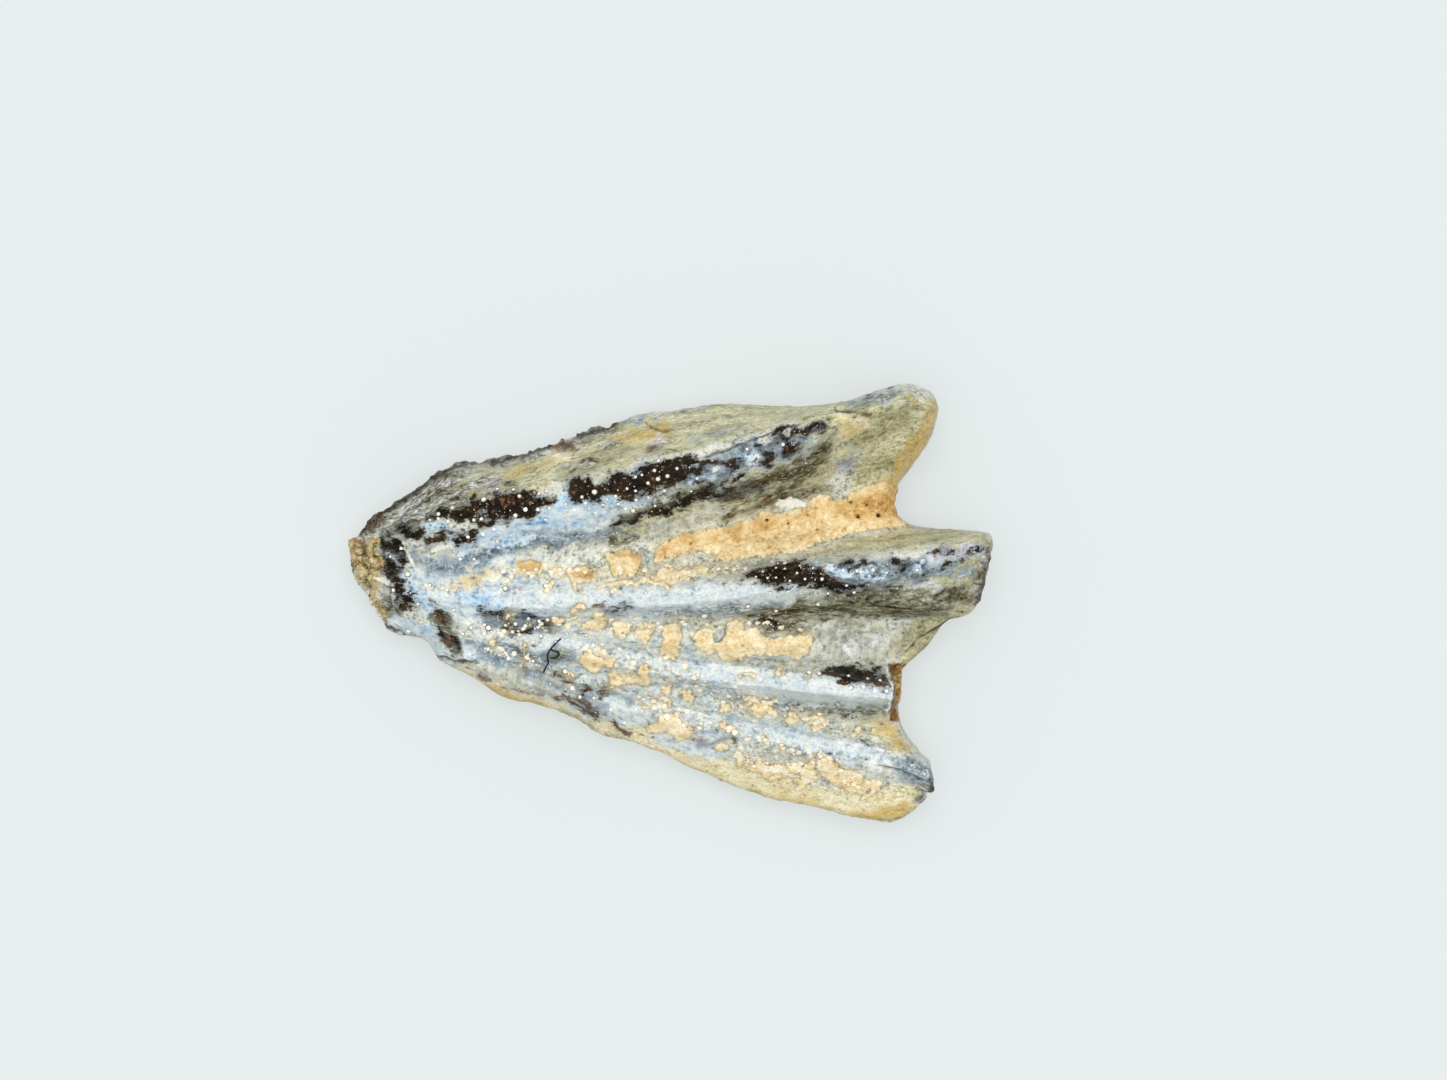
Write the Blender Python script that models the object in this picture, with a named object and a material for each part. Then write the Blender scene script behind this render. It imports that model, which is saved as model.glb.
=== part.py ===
"""Fossil lungfish tooth plate, 14.5 mm long, lying on its bony base.

The crown is a fan. Four ridges run from a blunt apex at -X to cusps on the labial edge at +X, and a groove lies
between each two. Each rim, ridge crest and groove floor is a rail, a smooth curve through a few points. The upper
surface is a grid stretched over the rails, and an undercut wall and a flat base close it below.
+Z is up, towards the chewing surface, and the origin is the centre of the base.
"""

import bmesh
import bpy
import numpy as np
from mathutils import Vector, noise

MM = 0.001

# Driving dimensions, in millimetres
RIM_HEIGHT = 0.80
RIM_WAVE = 0.16
RIM_WAVE_SIZE = 1.8
RIM_ROUNDING = 0.42
FRACTURE_ROUNDING = 0.14
APEX_STEP = 0.30
CUSP_LIFT = 0.60
SURFACE_ROUGHNESS = 0.035
BONE_ROUGHNESS = 0.09
ROUGHNESS_SIZE = 0.55

# How far the base is drawn in from the edge, as shares: of the length at the apex, at the notches and, where the
# cusps overhang, at the cusps, and of the rails' count at both rims
BASE_IN_APEX = 0.020
BASE_IN_NOTCH = 0.022
BASE_IN_CUSP = 0.085
BASE_IN_RIM = 0.22
# The wall from the rim down: the share of its height, and of the drawing in
WALL_LEVELS = ((0.30, 0.05), (0.62, 0.30), (1.00, 1.00))
# The cusps that overhang: the rail number at the middle, and half the width in rails
CUSPS = ((0.80, 1.10), (3.00, 0.75), (7.20, 0.80))
CUSP_START = 0.82
# Where the crown's margin steps up from the bony apex, as shares of the length
APEX_MARGIN = (0.045, 0.075)

# Grid cells from apex to labial edge, and from each rail to the next
CELLS_ALONG = 64
CELLS_ACROSS = (8, 10, 7, 7, 5, 4, 4, 7)

# Rails from the mesial rim to the lateral rim: points (x, y, height) in millimetres, from apex to labial edge
MESIAL_RIM = [
    (-6.95, 1.65, 1.20), (-6.55, 2.00, 1.25), (-5.85, 2.45, 1.30), (-5.20, 2.90, 1.30), (-4.80, 3.10, 1.30),
    (-4.15, 3.15, 1.25), (-3.15, 3.40, 1.20), (-2.15, 3.75, 1.20), (-1.45, 3.95, 1.20), (-0.70, 4.25, 1.15),
    (0.20, 4.35, 1.15), (1.25, 4.50, 1.15), (2.25, 4.45, 1.20), (3.25, 4.45, 1.30), (3.95, 4.55, 1.50),
    (4.60, 4.75, 1.70), (5.30, 4.95, 1.70),
]
RIDGE_1 = [
    (-7.20, 1.30, 1.35), (-6.20, 1.35, 2.05), (-5.50, 1.60, 2.45), (-4.10, 2.00, 2.80), (-2.85, 2.35, 3.05),
    (-1.70, 2.60, 3.20), (-0.55, 2.90, 3.35), (0.65, 3.15, 3.45), (1.80, 3.40, 3.55), (2.80, 3.75, 3.55),
    (3.55, 4.10, 3.45), (4.60, 4.50, 3.20), (5.45, 4.65, 3.00), (5.95, 4.50, 2.75),
]
GROOVE_1 = [
    (-7.25, 1.05, 1.35), (-5.95, 0.95, 2.00), (-4.75, 0.90, 2.20), (-3.40, 0.95, 2.15), (-2.05, 0.95, 2.05),
    (-0.70, 1.10, 1.95), (0.65, 1.30, 1.80), (2.00, 1.60, 1.65), (3.35, 1.95, 1.55), (4.40, 2.20, 1.45),
    (4.95, 2.25, 1.35),
]
RIDGE_2 = [
    (-7.20, 0.70, 1.35), (-5.95, 0.35, 2.10), (-4.75, 0.20, 2.35), (-3.40, 0.10, 2.45), (-2.05, 0.05, 2.55),
    (-0.70, 0.10, 2.70), (0.65, 0.20, 2.85), (1.80, 0.35, 3.00), (2.90, 0.60, 3.10), (4.05, 0.75, 3.15),
    (5.15, 0.95, 3.10), (6.30, 1.15, 2.90), (7.25, 1.40, 2.55),
]
GROOVE_2 = [
    (-7.05, 0.45, 1.30), (-5.85, 0.00, 2.00), (-4.75, -0.25, 2.15), (-3.40, -0.40, 2.15), (-2.05, -0.50, 2.05),
    (-0.70, -0.70, 1.90), (0.65, -0.85, 1.75), (2.00, -0.90, 1.60), (3.35, -0.90, 1.45), (4.50, -1.10, 1.35),
    (5.25, -1.45, 1.25),
]
RIDGE_3 = [
    (-6.85, 0.20, 1.30), (-5.75, -0.25, 1.95), (-4.75, -0.55, 2.15), (-3.40, -0.80, 2.30), (-2.05, -1.00, 2.35),
    (-0.70, -1.30, 2.40), (0.65, -1.50, 2.45), (2.00, -1.65, 2.50), (3.35, -1.80, 2.50), (4.50, -1.95, 2.45),
    (5.20, -2.00, 2.35),
]
GROOVE_3 = [
    (-6.70, 0.00, 1.25), (-5.70, -0.45, 1.85), (-4.70, -0.85, 2.05), (-3.40, -1.15, 2.05), (-2.05, -1.55, 1.95),
    (-0.70, -1.85, 1.90), (0.65, -2.10, 1.85), (2.00, -2.30, 1.75), (3.35, -2.45, 1.65), (4.50, -2.55, 1.55),
    (5.15, -2.60, 1.50),
]
RIDGE_4 = [
    (-6.60, -0.20, 1.20), (-5.60, -0.65, 1.75), (-4.60, -1.10, 1.95), (-3.40, -1.55, 2.05), (-2.05, -1.95, 2.15),
    (-0.70, -2.25, 2.20), (0.65, -2.55, 2.25), (2.00, -2.85, 2.30), (3.35, -3.15, 2.30), (4.50, -3.40, 2.20),
    (5.85, -3.70, 1.90),
]
LATERAL_RIM = [
    (-6.50, -0.40, 1.05), (-6.20, -0.65, 1.20), (-5.50, -0.85, 1.25), (-5.20, -1.30, 1.20), (-4.50, -1.65, 1.10),
    (-3.85, -2.10, 1.05), (-2.80, -2.35, 1.00), (-2.15, -2.60, 1.00), (-1.60, -2.95, 1.00), (-0.80, -3.15, 1.00),
    (0.20, -3.60, 0.95), (1.25, -4.05, 0.95), (2.25, -4.40, 0.95), (3.25, -4.60, 0.95), (4.25, -4.85, 1.00),
    (4.95, -4.95, 1.00),
]
RAILS = [MESIAL_RIM, RIDGE_1, GROOVE_1, RIDGE_2, GROOVE_2, RIDGE_3, GROOVE_3, RIDGE_4, LATERAL_RIM]

# Half the width of each worn crest, by the rail's number, and how fast the surface falls away from it
WORN_HALF_WIDTH = {1: 0.26, 3: 0.22, 5: 0.12, 7: 0.12}
GROOVE_FALL = 1.9
OUTER_FALL = 1.25

# The labial edge: (rail number, x, y), with cusps at rails 1, 3 and 7 and the broken third ridge at rail 5
LABIAL_EDGE = [
    (0.00, 5.30, 4.95), (0.50, 5.65, 4.85), (1.00, 6.00, 4.50), (1.25, 6.00, 4.15), (1.50, 5.70, 3.45),
    (1.75, 5.25, 2.85), (2.00, 4.95, 2.25), (2.25, 5.35, 1.80), (2.50, 6.20, 1.65), (2.80, 7.05, 1.60),
    (3.00, 7.25, 1.40), (3.20, 7.10, 0.80), (3.35, 6.90, -0.05), (3.60, 6.20, -0.45), (3.80, 5.75, -1.00),
    (4.00, 5.25, -1.45), (4.50, 5.20, -1.75), (5.00, 5.20, -2.00), (6.00, 5.15, -2.60), (6.50, 5.40, -3.10),
    (7.00, 5.85, -3.65), (7.30, 5.90, -4.10), (7.60, 5.65, -4.50), (7.80, 5.35, -4.80), (8.00, 4.95, -4.95),
]
LABIAL_REACH = 0.72

BONE_COLOUR = (0.55, 0.47, 0.32, 1.0)
CURVE_SAMPLES = 400


def smoothstep(low, high, value):
    """0 below low, 1 above high, and a smooth rise between them."""
    share = np.clip((value - low) / (high - low), 0.0, 1.0)
    return share * share * (3.0 - 2.0 * share)


def smooth_curve(stations, points, samples):
    """A Catmull-Rom curve through points, read at evenly spaced stations."""
    stations = np.asarray(stations, float)
    points = np.asarray(points, float)
    tangents = np.gradient(points, stations, axis=0)
    wanted = np.linspace(stations[0], stations[-1], samples)
    piece = np.clip(np.searchsorted(stations, wanted, side="right") - 1, 0, len(stations) - 2)
    span = (stations[piece + 1] - stations[piece])[:, None]
    t = (wanted[:, None] - stations[piece][:, None]) / span
    return wanted, (
        (1 + 2 * t) * (1 - t) ** 2 * points[piece]
        + t * (1 - t) ** 2 * span * tangents[piece]
        + t**2 * (3 - 2 * t) * points[piece + 1]
        + t**2 * (t - 1) * span * tangents[piece + 1]
    )


def rail_table(points):
    """The rail's x, y and height at evenly spaced shares of its length in plan."""
    points = np.array(points)
    chords = np.linalg.norm(np.diff(points[:, :2], axis=0), axis=1)
    _, curve = smooth_curve(np.concatenate([[0.0], np.cumsum(chords)]), points, CURVE_SAMPLES)
    steps = np.linalg.norm(np.diff(curve[:, :2], axis=0), axis=1)
    length = np.concatenate([[0.0], np.cumsum(steps)])
    shares = np.linspace(0.0, length[-1], CURVE_SAMPLES)
    return np.stack([np.interp(shares, length, curve[:, axis]) for axis in range(3)])


class Fan:
    """The crown's surface over u, from apex to labial edge, and q, the rail number."""

    def __init__(self):
        self.tables = np.array([rail_table(points) for points in RAILS])
        edge = np.array(LABIAL_EDGE)
        self.edge_q, self.edge_xy = smooth_curve(edge[:, 0], edge[:, 1:], CURVE_SAMPLES)
        self.last = len(RAILS) - 1
        self.outline = self.closed_outline()

    def rails_beside(self, u, q):
        """The points at u on the two rails beside q, and the share of the way from the first to the second."""
        first = np.clip(np.floor(q).astype(int), 0, self.last - 1)
        shares = np.linspace(0.0, 1.0, CURVE_SAMPLES)
        at_u = np.array([[np.interp(u, shares, row) for row in table] for table in self.tables])
        picked = np.arange(len(u))
        return at_u[first, :, picked], at_u[first + 1, :, picked], first, q - first

    def plan(self, u, q):
        """Where the surface's point lies in plan."""
        a, b, _, t = self.rails_beside(u, q)
        xy = a[:, :2] + (b - a)[:, :2] * t[:, None]
        end_a, end_b, _, _ = self.rails_beside(np.ones_like(u), q)
        end = end_a[:, :2] + (end_b - end_a)[:, :2] * t[:, None]
        edge = np.stack([np.interp(q, self.edge_q, self.edge_xy[:, axis]) for axis in (0, 1)], axis=1)
        return xy + smoothstep(LABIAL_REACH, 1.0, u)[:, None] * (edge - end)

    def closed_outline(self):
        """The plate's outline in plan, counter-clockwise from the apex end of the lateral rim."""
        along = np.linspace(0.0, 1.0, CURVE_SAMPLES)
        across = along * self.last
        low, high = np.zeros_like(along), np.full_like(along, self.last)
        return np.concatenate(
            [
                self.plan(along, high)[:-1],
                self.plan(high / self.last, across[::-1])[:-1],
                self.plan(along[::-1], low)[:-1],
                self.plan(low, across)[:-1],
            ]
        )

    def section(self, u, q):
        """The height between two rails: flat on the worn crest, then steep, then easing into the groove."""
        a, b, first, t = self.rails_beside(u, q)
        width = np.maximum(np.linalg.norm((b - a)[:, :2], axis=1), 0.05)
        height = np.empty_like(u)
        for rail in range(self.last):
            here = first == rail
            crest = rail if rail in WORN_HALF_WIDTH else rail + 1
            away = t[here] if crest == rail else 1.0 - t[here]
            fall = OUTER_FALL if rail in (0, self.last - 1) else GROOVE_FALL
            flat = np.minimum(WORN_HALF_WIDTH[crest] / width[here], 0.35)
            share = 1.0 - (1.0 - np.clip((away - flat) / (1.0 - flat), 0.0, 1.0)) ** fall
            top, low = (a, b) if crest == rail else (b, a)
            height[here] = top[here, 2] + (low[here, 2] - top[here, 2]) * share
        return height

    def edge_distance(self, xy):
        """How far each point in plan lies from the outline."""
        start = self.outline
        side = np.roll(start, -1, axis=0) - start
        square = np.maximum((side**2).sum(axis=1), 1e-12)
        nearest = np.full(len(xy), np.inf)
        for corner, along, length in zip(start, side, square):
            offset = xy - corner
            share = np.clip(offset @ along / length, 0.0, 1.0)
            nearest = np.minimum(nearest, ((offset - share[:, None] * along) ** 2).sum(axis=1))
        return np.sqrt(nearest)

    def overhang(self, u, q):
        """1 at the tips of the cusps, which stand out over the base, and 0 away from them."""
        near = sum(1.0 - smoothstep(0.0, half, abs(q - middle)) for middle, half in CUSPS)
        return near * smoothstep(CUSP_START, 1.0, u)

    def rim_height(self, u, q, xy):
        """The height of the plate's widest line: wavy, and lifted under the cusps."""
        wave = [noise.noise(Vector((x, y, 0.0)) / RIM_WAVE_SIZE) for x, y in xy]
        return RIM_HEIGHT + RIM_WAVE * np.array(wave) + CUSP_LIFT * self.overhang(u, q)

    def surface(self, u, q):
        """The crown's points: stepped down to the bony apex, and rounded over at the rim, sharply where it broke."""
        xy = self.plan(u, q)
        broken = smoothstep(4.0, 4.4, q) * (1.0 - smoothstep(5.8, 6.3, q)) * smoothstep(0.85, 0.95, u)
        rounding = RIM_ROUNDING + (FRACTURE_ROUNDING - RIM_ROUNDING) * broken
        inward = np.clip(self.edge_distance(xy) / rounding, 0.0, 1.0)
        rise = np.sqrt(1.0 - (1.0 - inward) ** 2)
        rim = self.rim_height(u, q, xy)
        crown = self.section(u, q) - APEX_STEP * (1.0 - smoothstep(*APEX_MARGIN, u))
        return np.column_stack([xy, rim + (crown - rim) * rise])

    def wall(self, u, q, down, inward):
        """The wall under the rim point at u and q, a share of the way down, and of the way in to the base."""
        labial_in = BASE_IN_NOTCH + (BASE_IN_CUSP - BASE_IN_NOTCH) * self.overhang(np.ones_like(u), q)
        base_u = BASE_IN_APEX + u * (1.0 - BASE_IN_APEX - labial_in)
        base_q = BASE_IN_RIM + q * (1.0 - 2.0 * BASE_IN_RIM / self.last)
        xy = self.plan(u + (base_u - u) * inward, q + (base_q - q) * inward)
        return np.column_stack([xy, self.rim_height(u, q, self.plan(u, q)) * (1.0 - down)])


def grain(point, size, amount):
    """A seeded bump or hollow of the natural surface, up to about amount."""
    return amount * noise.fractal(point / size, 1.0, 2.0, 3)


def crown_grid(fan):
    """A grid from apex to labial edge, with each of its points moved onto the fan. It keeps each point's u and q."""
    crown = bmesh.new()
    across = sum(CELLS_ACROSS)
    bmesh.ops.create_grid(crown, x_segments=CELLS_ALONG, y_segments=across, size=1.0)
    keep_u, keep_q = (crown.verts.layers.float.new(name) for name in ("u", "q"))
    corner = np.array([vert.co[:2] for vert in crown.verts])
    u = (corner[:, 0] + 1.0) / 2.0
    rail_cells = np.concatenate([[0], np.cumsum(CELLS_ACROSS)])
    q = np.interp((1.0 - corner[:, 1]) / 2.0 * across, rail_cells, np.arange(len(rail_cells)))
    bony = 1.0 - smoothstep(*APEX_MARGIN, u)
    roughness = SURFACE_ROUGHNESS + (BONE_ROUGHNESS - SURFACE_ROUGHNESS) * bony
    for vert, place, along, rail, rough in zip(crown.verts, fan.surface(u, q), u, q, roughness):
        vert[keep_u], vert[keep_q] = along, rail
        vert.co = place
        if not vert.is_boundary:
            vert.co.z += grain(vert.co, ROUGHNESS_SIZE, rough)
    return crown


def close_below(crown, fan):
    """Draws the wall down from the rim, undercut towards the base, and closes it with one flat face."""
    keep_u, keep_q = (crown.verts.layers.float[name] for name in ("u", "q"))
    edges = [edge for edge in crown.edges if edge.is_boundary]
    for down, inward in WALL_LEVELS:
        made = bmesh.ops.extrude_edge_only(crown, edges=edges)["geom"]
        ring = [item for item in made if isinstance(item, bmesh.types.BMVert)]
        u, q = (np.array([vert[layer] for vert in ring]) for layer in (keep_u, keep_q))
        for vert, place in zip(ring, fan.wall(u, q, down, inward)):
            vert.co = place
            outward = Vector((place[0], place[1], 0.0)).normalized()
            vert.co += outward * grain(vert.co, ROUGHNESS_SIZE, BONE_ROUGHNESS)
        edges = [item for item in made if isinstance(item, bmesh.types.BMEdge)]
    bmesh.ops.contextual_create(crown, geom=edges)


def bone_material():
    """Plain fossil dentine: tan, with a soft shine."""
    material = bpy.data.materials.new("fossil dentine")
    material.use_nodes = True
    shader = material.node_tree.nodes["Principled BSDF"]
    shader.inputs["Base Color"].default_value = BONE_COLOUR
    shader.inputs["Roughness"].default_value = 0.45
    shader.inputs["Metallic"].default_value = 0.0
    return material


def build_tooth_plate(collection):
    """The whole plate as one closed mesh, centred on its base."""
    fan = Fan()
    plate = crown_grid(fan)
    close_below(plate, fan)
    bmesh.ops.recalc_face_normals(plate, faces=plate.faces)
    places = np.array([vert.co for vert in plate.verts])
    middle = (places.min(axis=0) + places.max(axis=0)) / 2.0
    bmesh.ops.translate(plate, verts=plate.verts, vec=Vector((-middle[0], -middle[1], 0.0)))
    bmesh.ops.scale(plate, verts=plate.verts, vec=Vector((MM, MM, MM)))
    mesh = bpy.data.meshes.new("tooth_plate")
    plate.to_mesh(mesh)
    plate.free()
    mesh.materials.append(bone_material())
    mesh.shade_smooth()
    collection.objects.link(bpy.data.objects.new("tooth_plate", mesh))


def main():
    for old in list(bpy.data.objects):
        bpy.data.objects.remove(old)
    collection = bpy.data.collections.new("fossil lungfish tooth plate")
    bpy.context.scene.collection.children.link(collection)
    build_tooth_plate(collection)


main()
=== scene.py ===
"""The looks of the fossil lungfish tooth plate: its fine surface, its beads and crumbs, and their finishes.

The crown is a fan of rails, like the solid's: each rim, ridge crest and groove floor is a smooth curve
through a few points. Its worn crests are broader than the solid's, with rounded shoulders. Lengths are in
millimetres until a piece is finished. What lies on the crown is charted in pixels of the photograph, which
looks straight down on it.
"""

import math
import random

import bmesh
import bpy
import numpy as np
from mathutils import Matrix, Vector, noise
from mathutils.bvhtree import BVHTree


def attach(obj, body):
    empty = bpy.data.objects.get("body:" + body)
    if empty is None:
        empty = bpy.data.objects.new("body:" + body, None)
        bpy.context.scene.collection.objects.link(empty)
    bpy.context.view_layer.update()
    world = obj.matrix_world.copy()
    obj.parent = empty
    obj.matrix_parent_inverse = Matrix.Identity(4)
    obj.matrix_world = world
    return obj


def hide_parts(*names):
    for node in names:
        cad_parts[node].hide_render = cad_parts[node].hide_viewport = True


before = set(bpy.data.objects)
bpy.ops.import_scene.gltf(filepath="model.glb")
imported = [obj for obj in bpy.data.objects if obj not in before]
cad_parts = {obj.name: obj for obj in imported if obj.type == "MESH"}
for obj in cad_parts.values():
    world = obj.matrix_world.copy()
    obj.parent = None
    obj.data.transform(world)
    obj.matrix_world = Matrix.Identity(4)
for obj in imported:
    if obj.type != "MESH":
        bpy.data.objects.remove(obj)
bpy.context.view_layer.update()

MM = 0.001

# The photograph: 1447 pixels wide, straight down, with the base's centre at this pixel
PHOTO_WIDTH = 1447
MM_PER_PIXEL = 0.0225
BASE_PIXEL = np.array((670.5, 603.0))
MIDDLE_PIXEL = np.array((723.5, 540.0))
LENS = 135.0
SENSOR = 36.0
SHARP_HEIGHT = 1.2
CAMERA_RISE = LENS / SENSOR * PHOTO_WIDTH * MM_PER_PIXEL
VIEW_MIDDLE = (MIDDLE_PIXEL - BASE_PIXEL) * MM_PER_PIXEL * (1.0, -1.0)

# The crown's form: the solid's, but for the worn crests and their shoulders
RIM_HEIGHT = 0.80
RIM_WAVE = 0.16
RIM_WAVE_SIZE = 1.8
RIM_ROUNDING = 0.42
FRACTURE_ROUNDING = 0.14
APEX_STEP = 0.30
CUSP_LIFT = 0.60
SURFACE_ROUGHNESS = 0.035
BONE_ROUGHNESS = 0.09
ROUGHNESS_SIZE = 0.55
BASE_IN_APEX = 0.020
BASE_IN_NOTCH = 0.022
BASE_IN_CUSP = 0.085
BASE_IN_RIM = 0.22
WALL_PROFILE = ((0.0, 0.0), (0.30, 0.05), (0.62, 0.30), (1.00, 1.00))
CUSPS = ((0.80, 1.10), (3.00, 0.75), (7.20, 0.80))
CUSP_START = 0.82
APEX_MARGIN = (0.045, 0.075)
LABIAL_REACH = 0.72
WORN_HALF_WIDTH = {1: 0.26, 3: 0.24, 5: 0.18, 7: 0.16}
SHOULDER = 0.12
WIDEST_FLAT = 0.35
NARROWEST_GAP = 0.05
BROKEN_RAILS = ((4.0, 4.4), (5.8, 6.3))
BROKEN_FROM = (0.85, 0.95)
GROOVE_FALL = 1.9
OUTER_FALL = 1.25
CURVE_SAMPLES = 400
PLATE_LENGTH = 14.5
RAIL_SPACING = 1.15
WALL_LENGTH = 1.2

# Cells of the fine surface: along the crown, across it from rail to rail, and down the wall
CELLS_ALONG = 300
CELLS_ACROSS = (40, 48, 34, 34, 24, 20, 20, 32)
WALL_RINGS = 11
BASE_COARSENESS = 3
# The base's grid lies a little inside the wall's last ring: where it starts, and how far it runs
BASE_SPAN_U = (0.012, 0.976)
BASE_SPAN_Q = (0.10, 0.975)
BASE_DOWN = 2.0

# Rails from the mesial rim to the lateral rim: points (x, y, height), from apex to labial edge
MESIAL_RIM = [
    (-6.95, 1.65, 1.20), (-6.55, 2.00, 1.25), (-5.85, 2.45, 1.30), (-5.20, 2.90, 1.30), (-4.80, 3.10, 1.30),
    (-4.15, 3.15, 1.25), (-3.15, 3.40, 1.20), (-2.15, 3.75, 1.20), (-1.45, 3.95, 1.20), (-0.70, 4.25, 1.15),
    (0.20, 4.35, 1.15), (1.25, 4.50, 1.15), (2.25, 4.45, 1.20), (3.25, 4.45, 1.30), (3.95, 4.55, 1.50),
    (4.60, 4.75, 1.70), (5.30, 4.95, 1.70),
]
RIDGE_1 = [
    (-7.20, 1.30, 1.35), (-6.20, 1.35, 2.05), (-5.50, 1.60, 2.45), (-4.10, 2.00, 2.80), (-2.85, 2.35, 3.05),
    (-1.70, 2.60, 3.20), (-0.55, 2.90, 3.35), (0.65, 3.15, 3.45), (1.80, 3.40, 3.55), (2.80, 3.75, 3.55),
    (3.55, 4.10, 3.45), (4.60, 4.50, 3.20), (5.45, 4.65, 3.00), (5.95, 4.50, 2.75),
]
GROOVE_1 = [
    (-7.25, 1.05, 1.35), (-5.95, 0.95, 2.00), (-4.75, 0.90, 2.20), (-3.40, 0.95, 2.15), (-2.05, 0.95, 2.05),
    (-0.70, 1.10, 1.95), (0.65, 1.30, 1.80), (2.00, 1.60, 1.65), (3.35, 1.95, 1.55), (4.40, 2.20, 1.45),
    (4.95, 2.25, 1.35),
]
RIDGE_2 = [
    (-7.20, 0.70, 1.35), (-5.95, 0.35, 2.10), (-4.75, 0.20, 2.35), (-3.40, 0.10, 2.45), (-2.05, 0.05, 2.55),
    (-0.70, 0.10, 2.70), (0.65, 0.20, 2.85), (1.80, 0.35, 3.00), (2.90, 0.60, 3.10), (4.05, 0.75, 3.15),
    (5.15, 0.95, 3.10), (6.30, 1.15, 2.90), (7.25, 1.40, 2.55),
]
GROOVE_2 = [
    (-7.05, 0.45, 1.30), (-5.85, 0.00, 2.00), (-4.75, -0.25, 2.15), (-3.40, -0.40, 2.15),
    (-2.05, -0.50, 2.05), (-0.70, -0.70, 1.90), (0.65, -0.85, 1.75), (2.00, -0.90, 1.60), (3.35, -0.90, 1.45),
    (4.50, -1.10, 1.35), (5.25, -1.45, 1.25),
]
RIDGE_3 = [
    (-6.85, 0.20, 1.30), (-5.75, -0.25, 1.95), (-4.75, -0.55, 2.15), (-3.40, -0.80, 2.30),
    (-2.05, -1.00, 2.35), (-0.70, -1.30, 2.40), (0.65, -1.50, 2.45), (2.00, -1.65, 2.50), (3.35, -1.80, 2.50),
    (4.50, -1.95, 2.45), (5.20, -2.00, 2.35),
]
GROOVE_3 = [
    (-6.70, 0.00, 1.25), (-5.70, -0.45, 1.85), (-4.70, -0.85, 2.05), (-3.40, -1.15, 2.05),
    (-2.05, -1.55, 1.95), (-0.70, -1.85, 1.90), (0.65, -2.10, 1.85), (2.00, -2.30, 1.75), (3.35, -2.45, 1.65),
    (4.50, -2.55, 1.55), (5.15, -2.60, 1.50),
]
RIDGE_4 = [
    (-6.60, -0.20, 1.20), (-5.60, -0.65, 1.75), (-4.60, -1.10, 1.95), (-3.40, -1.55, 2.05),
    (-2.05, -1.95, 2.15), (-0.70, -2.25, 2.20), (0.65, -2.55, 2.25), (2.00, -2.85, 2.30), (3.35, -3.15, 2.30),
    (4.50, -3.40, 2.20), (5.85, -3.70, 1.90),
]
LATERAL_RIM = [
    (-6.42, -0.58, 1.05), (-6.15, -0.70, 1.20), (-5.50, -0.85, 1.25), (-5.20, -1.30, 1.20),
    (-4.50, -1.65, 1.10), (-3.85, -2.10, 1.05), (-2.80, -2.35, 1.00), (-2.15, -2.60, 1.00),
    (-1.60, -2.95, 1.00), (-0.80, -3.15, 1.00), (0.20, -3.60, 0.95), (1.25, -4.05, 0.95), (2.25, -4.40, 0.95),
    (3.25, -4.60, 0.95), (4.25, -4.85, 1.00), (4.95, -4.95, 1.00),
]
RAILS = [MESIAL_RIM, RIDGE_1, GROOVE_1, RIDGE_2, GROOVE_2, RIDGE_3, GROOVE_3, RIDGE_4, LATERAL_RIM]

# The labial edge: (rail number, x, y)
LABIAL_EDGE = [
    (0.00, 5.30, 4.95), (0.50, 5.65, 4.85), (1.00, 6.00, 4.50), (1.25, 6.00, 4.15), (1.50, 5.70, 3.45),
    (1.75, 5.25, 2.85), (2.00, 4.95, 2.25), (2.25, 5.35, 1.80), (2.50, 6.20, 1.65), (2.80, 7.05, 1.60),
    (3.00, 7.25, 1.40), (3.20, 7.10, 0.80), (3.35, 6.90, -0.05), (3.60, 6.20, -0.45), (3.80, 5.75, -1.00),
    (4.00, 5.25, -1.45), (4.12, 5.22, -1.53), (4.30, 5.21, -1.63), (4.50, 5.21, -1.75), (5.00, 5.20, -2.00),
    (6.00, 5.15, -2.60), (6.50, 5.40, -3.10), (7.00, 5.85, -3.65), (7.30, 5.90, -4.10), (7.60, 5.65, -4.50),
    (7.80, 5.35, -4.80), (8.00, 4.95, -4.95),
]

# The chart. A stroke is a chain of (pixel x, pixel y, half width in pixels), and a patch is a closed outline.
PALE = {
    "field behind the apex": [(402, 583, 10), (440, 592, 30), (500, 590, 36), (560, 600, 40), (620, 615, 44)],
    "under the first crest": [(452, 545, 7), (500, 540, 12), (545, 526, 18), (600, 517, 16), (652, 502, 8)],
    "second crest": [(600, 600, 20), (700, 597, 15), (760, 596, 10), (800, 594, 5)],
    "third crest": [(560, 648, 24), (640, 662, 26), (720, 680, 20), (800, 690, 16), (886, 698, 12)],
    "fourth crest": [
        (600, 695, 15), (660, 708, 22), (730, 724, 18), (800, 741, 13), (860, 753, 11), (902, 764, 5),
    ],
    "second groove": [(560, 632, 14), (640, 640, 16), (720, 645, 14), (800, 650, 12)],
    "lateral lobes": [(396, 623, 7), (418, 634, 11), (440, 645, 13), (468, 650, 12), (500, 655, 14)],
    "first facet": [(685, 481, 4), (715, 472, 5), (745, 461, 6), (780, 448, 4)],
    "second facet": [(815, 570, 4), (850, 574, 8), (890, 574, 7), (930, 563, 7), (978, 549, 5)],
    "under the fourth crest": [(660, 737, 6), (700, 750, 8), (750, 756, 6)],
    "above the first dark": [(632, 470, 4), (646, 466, 5)],
}
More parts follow.
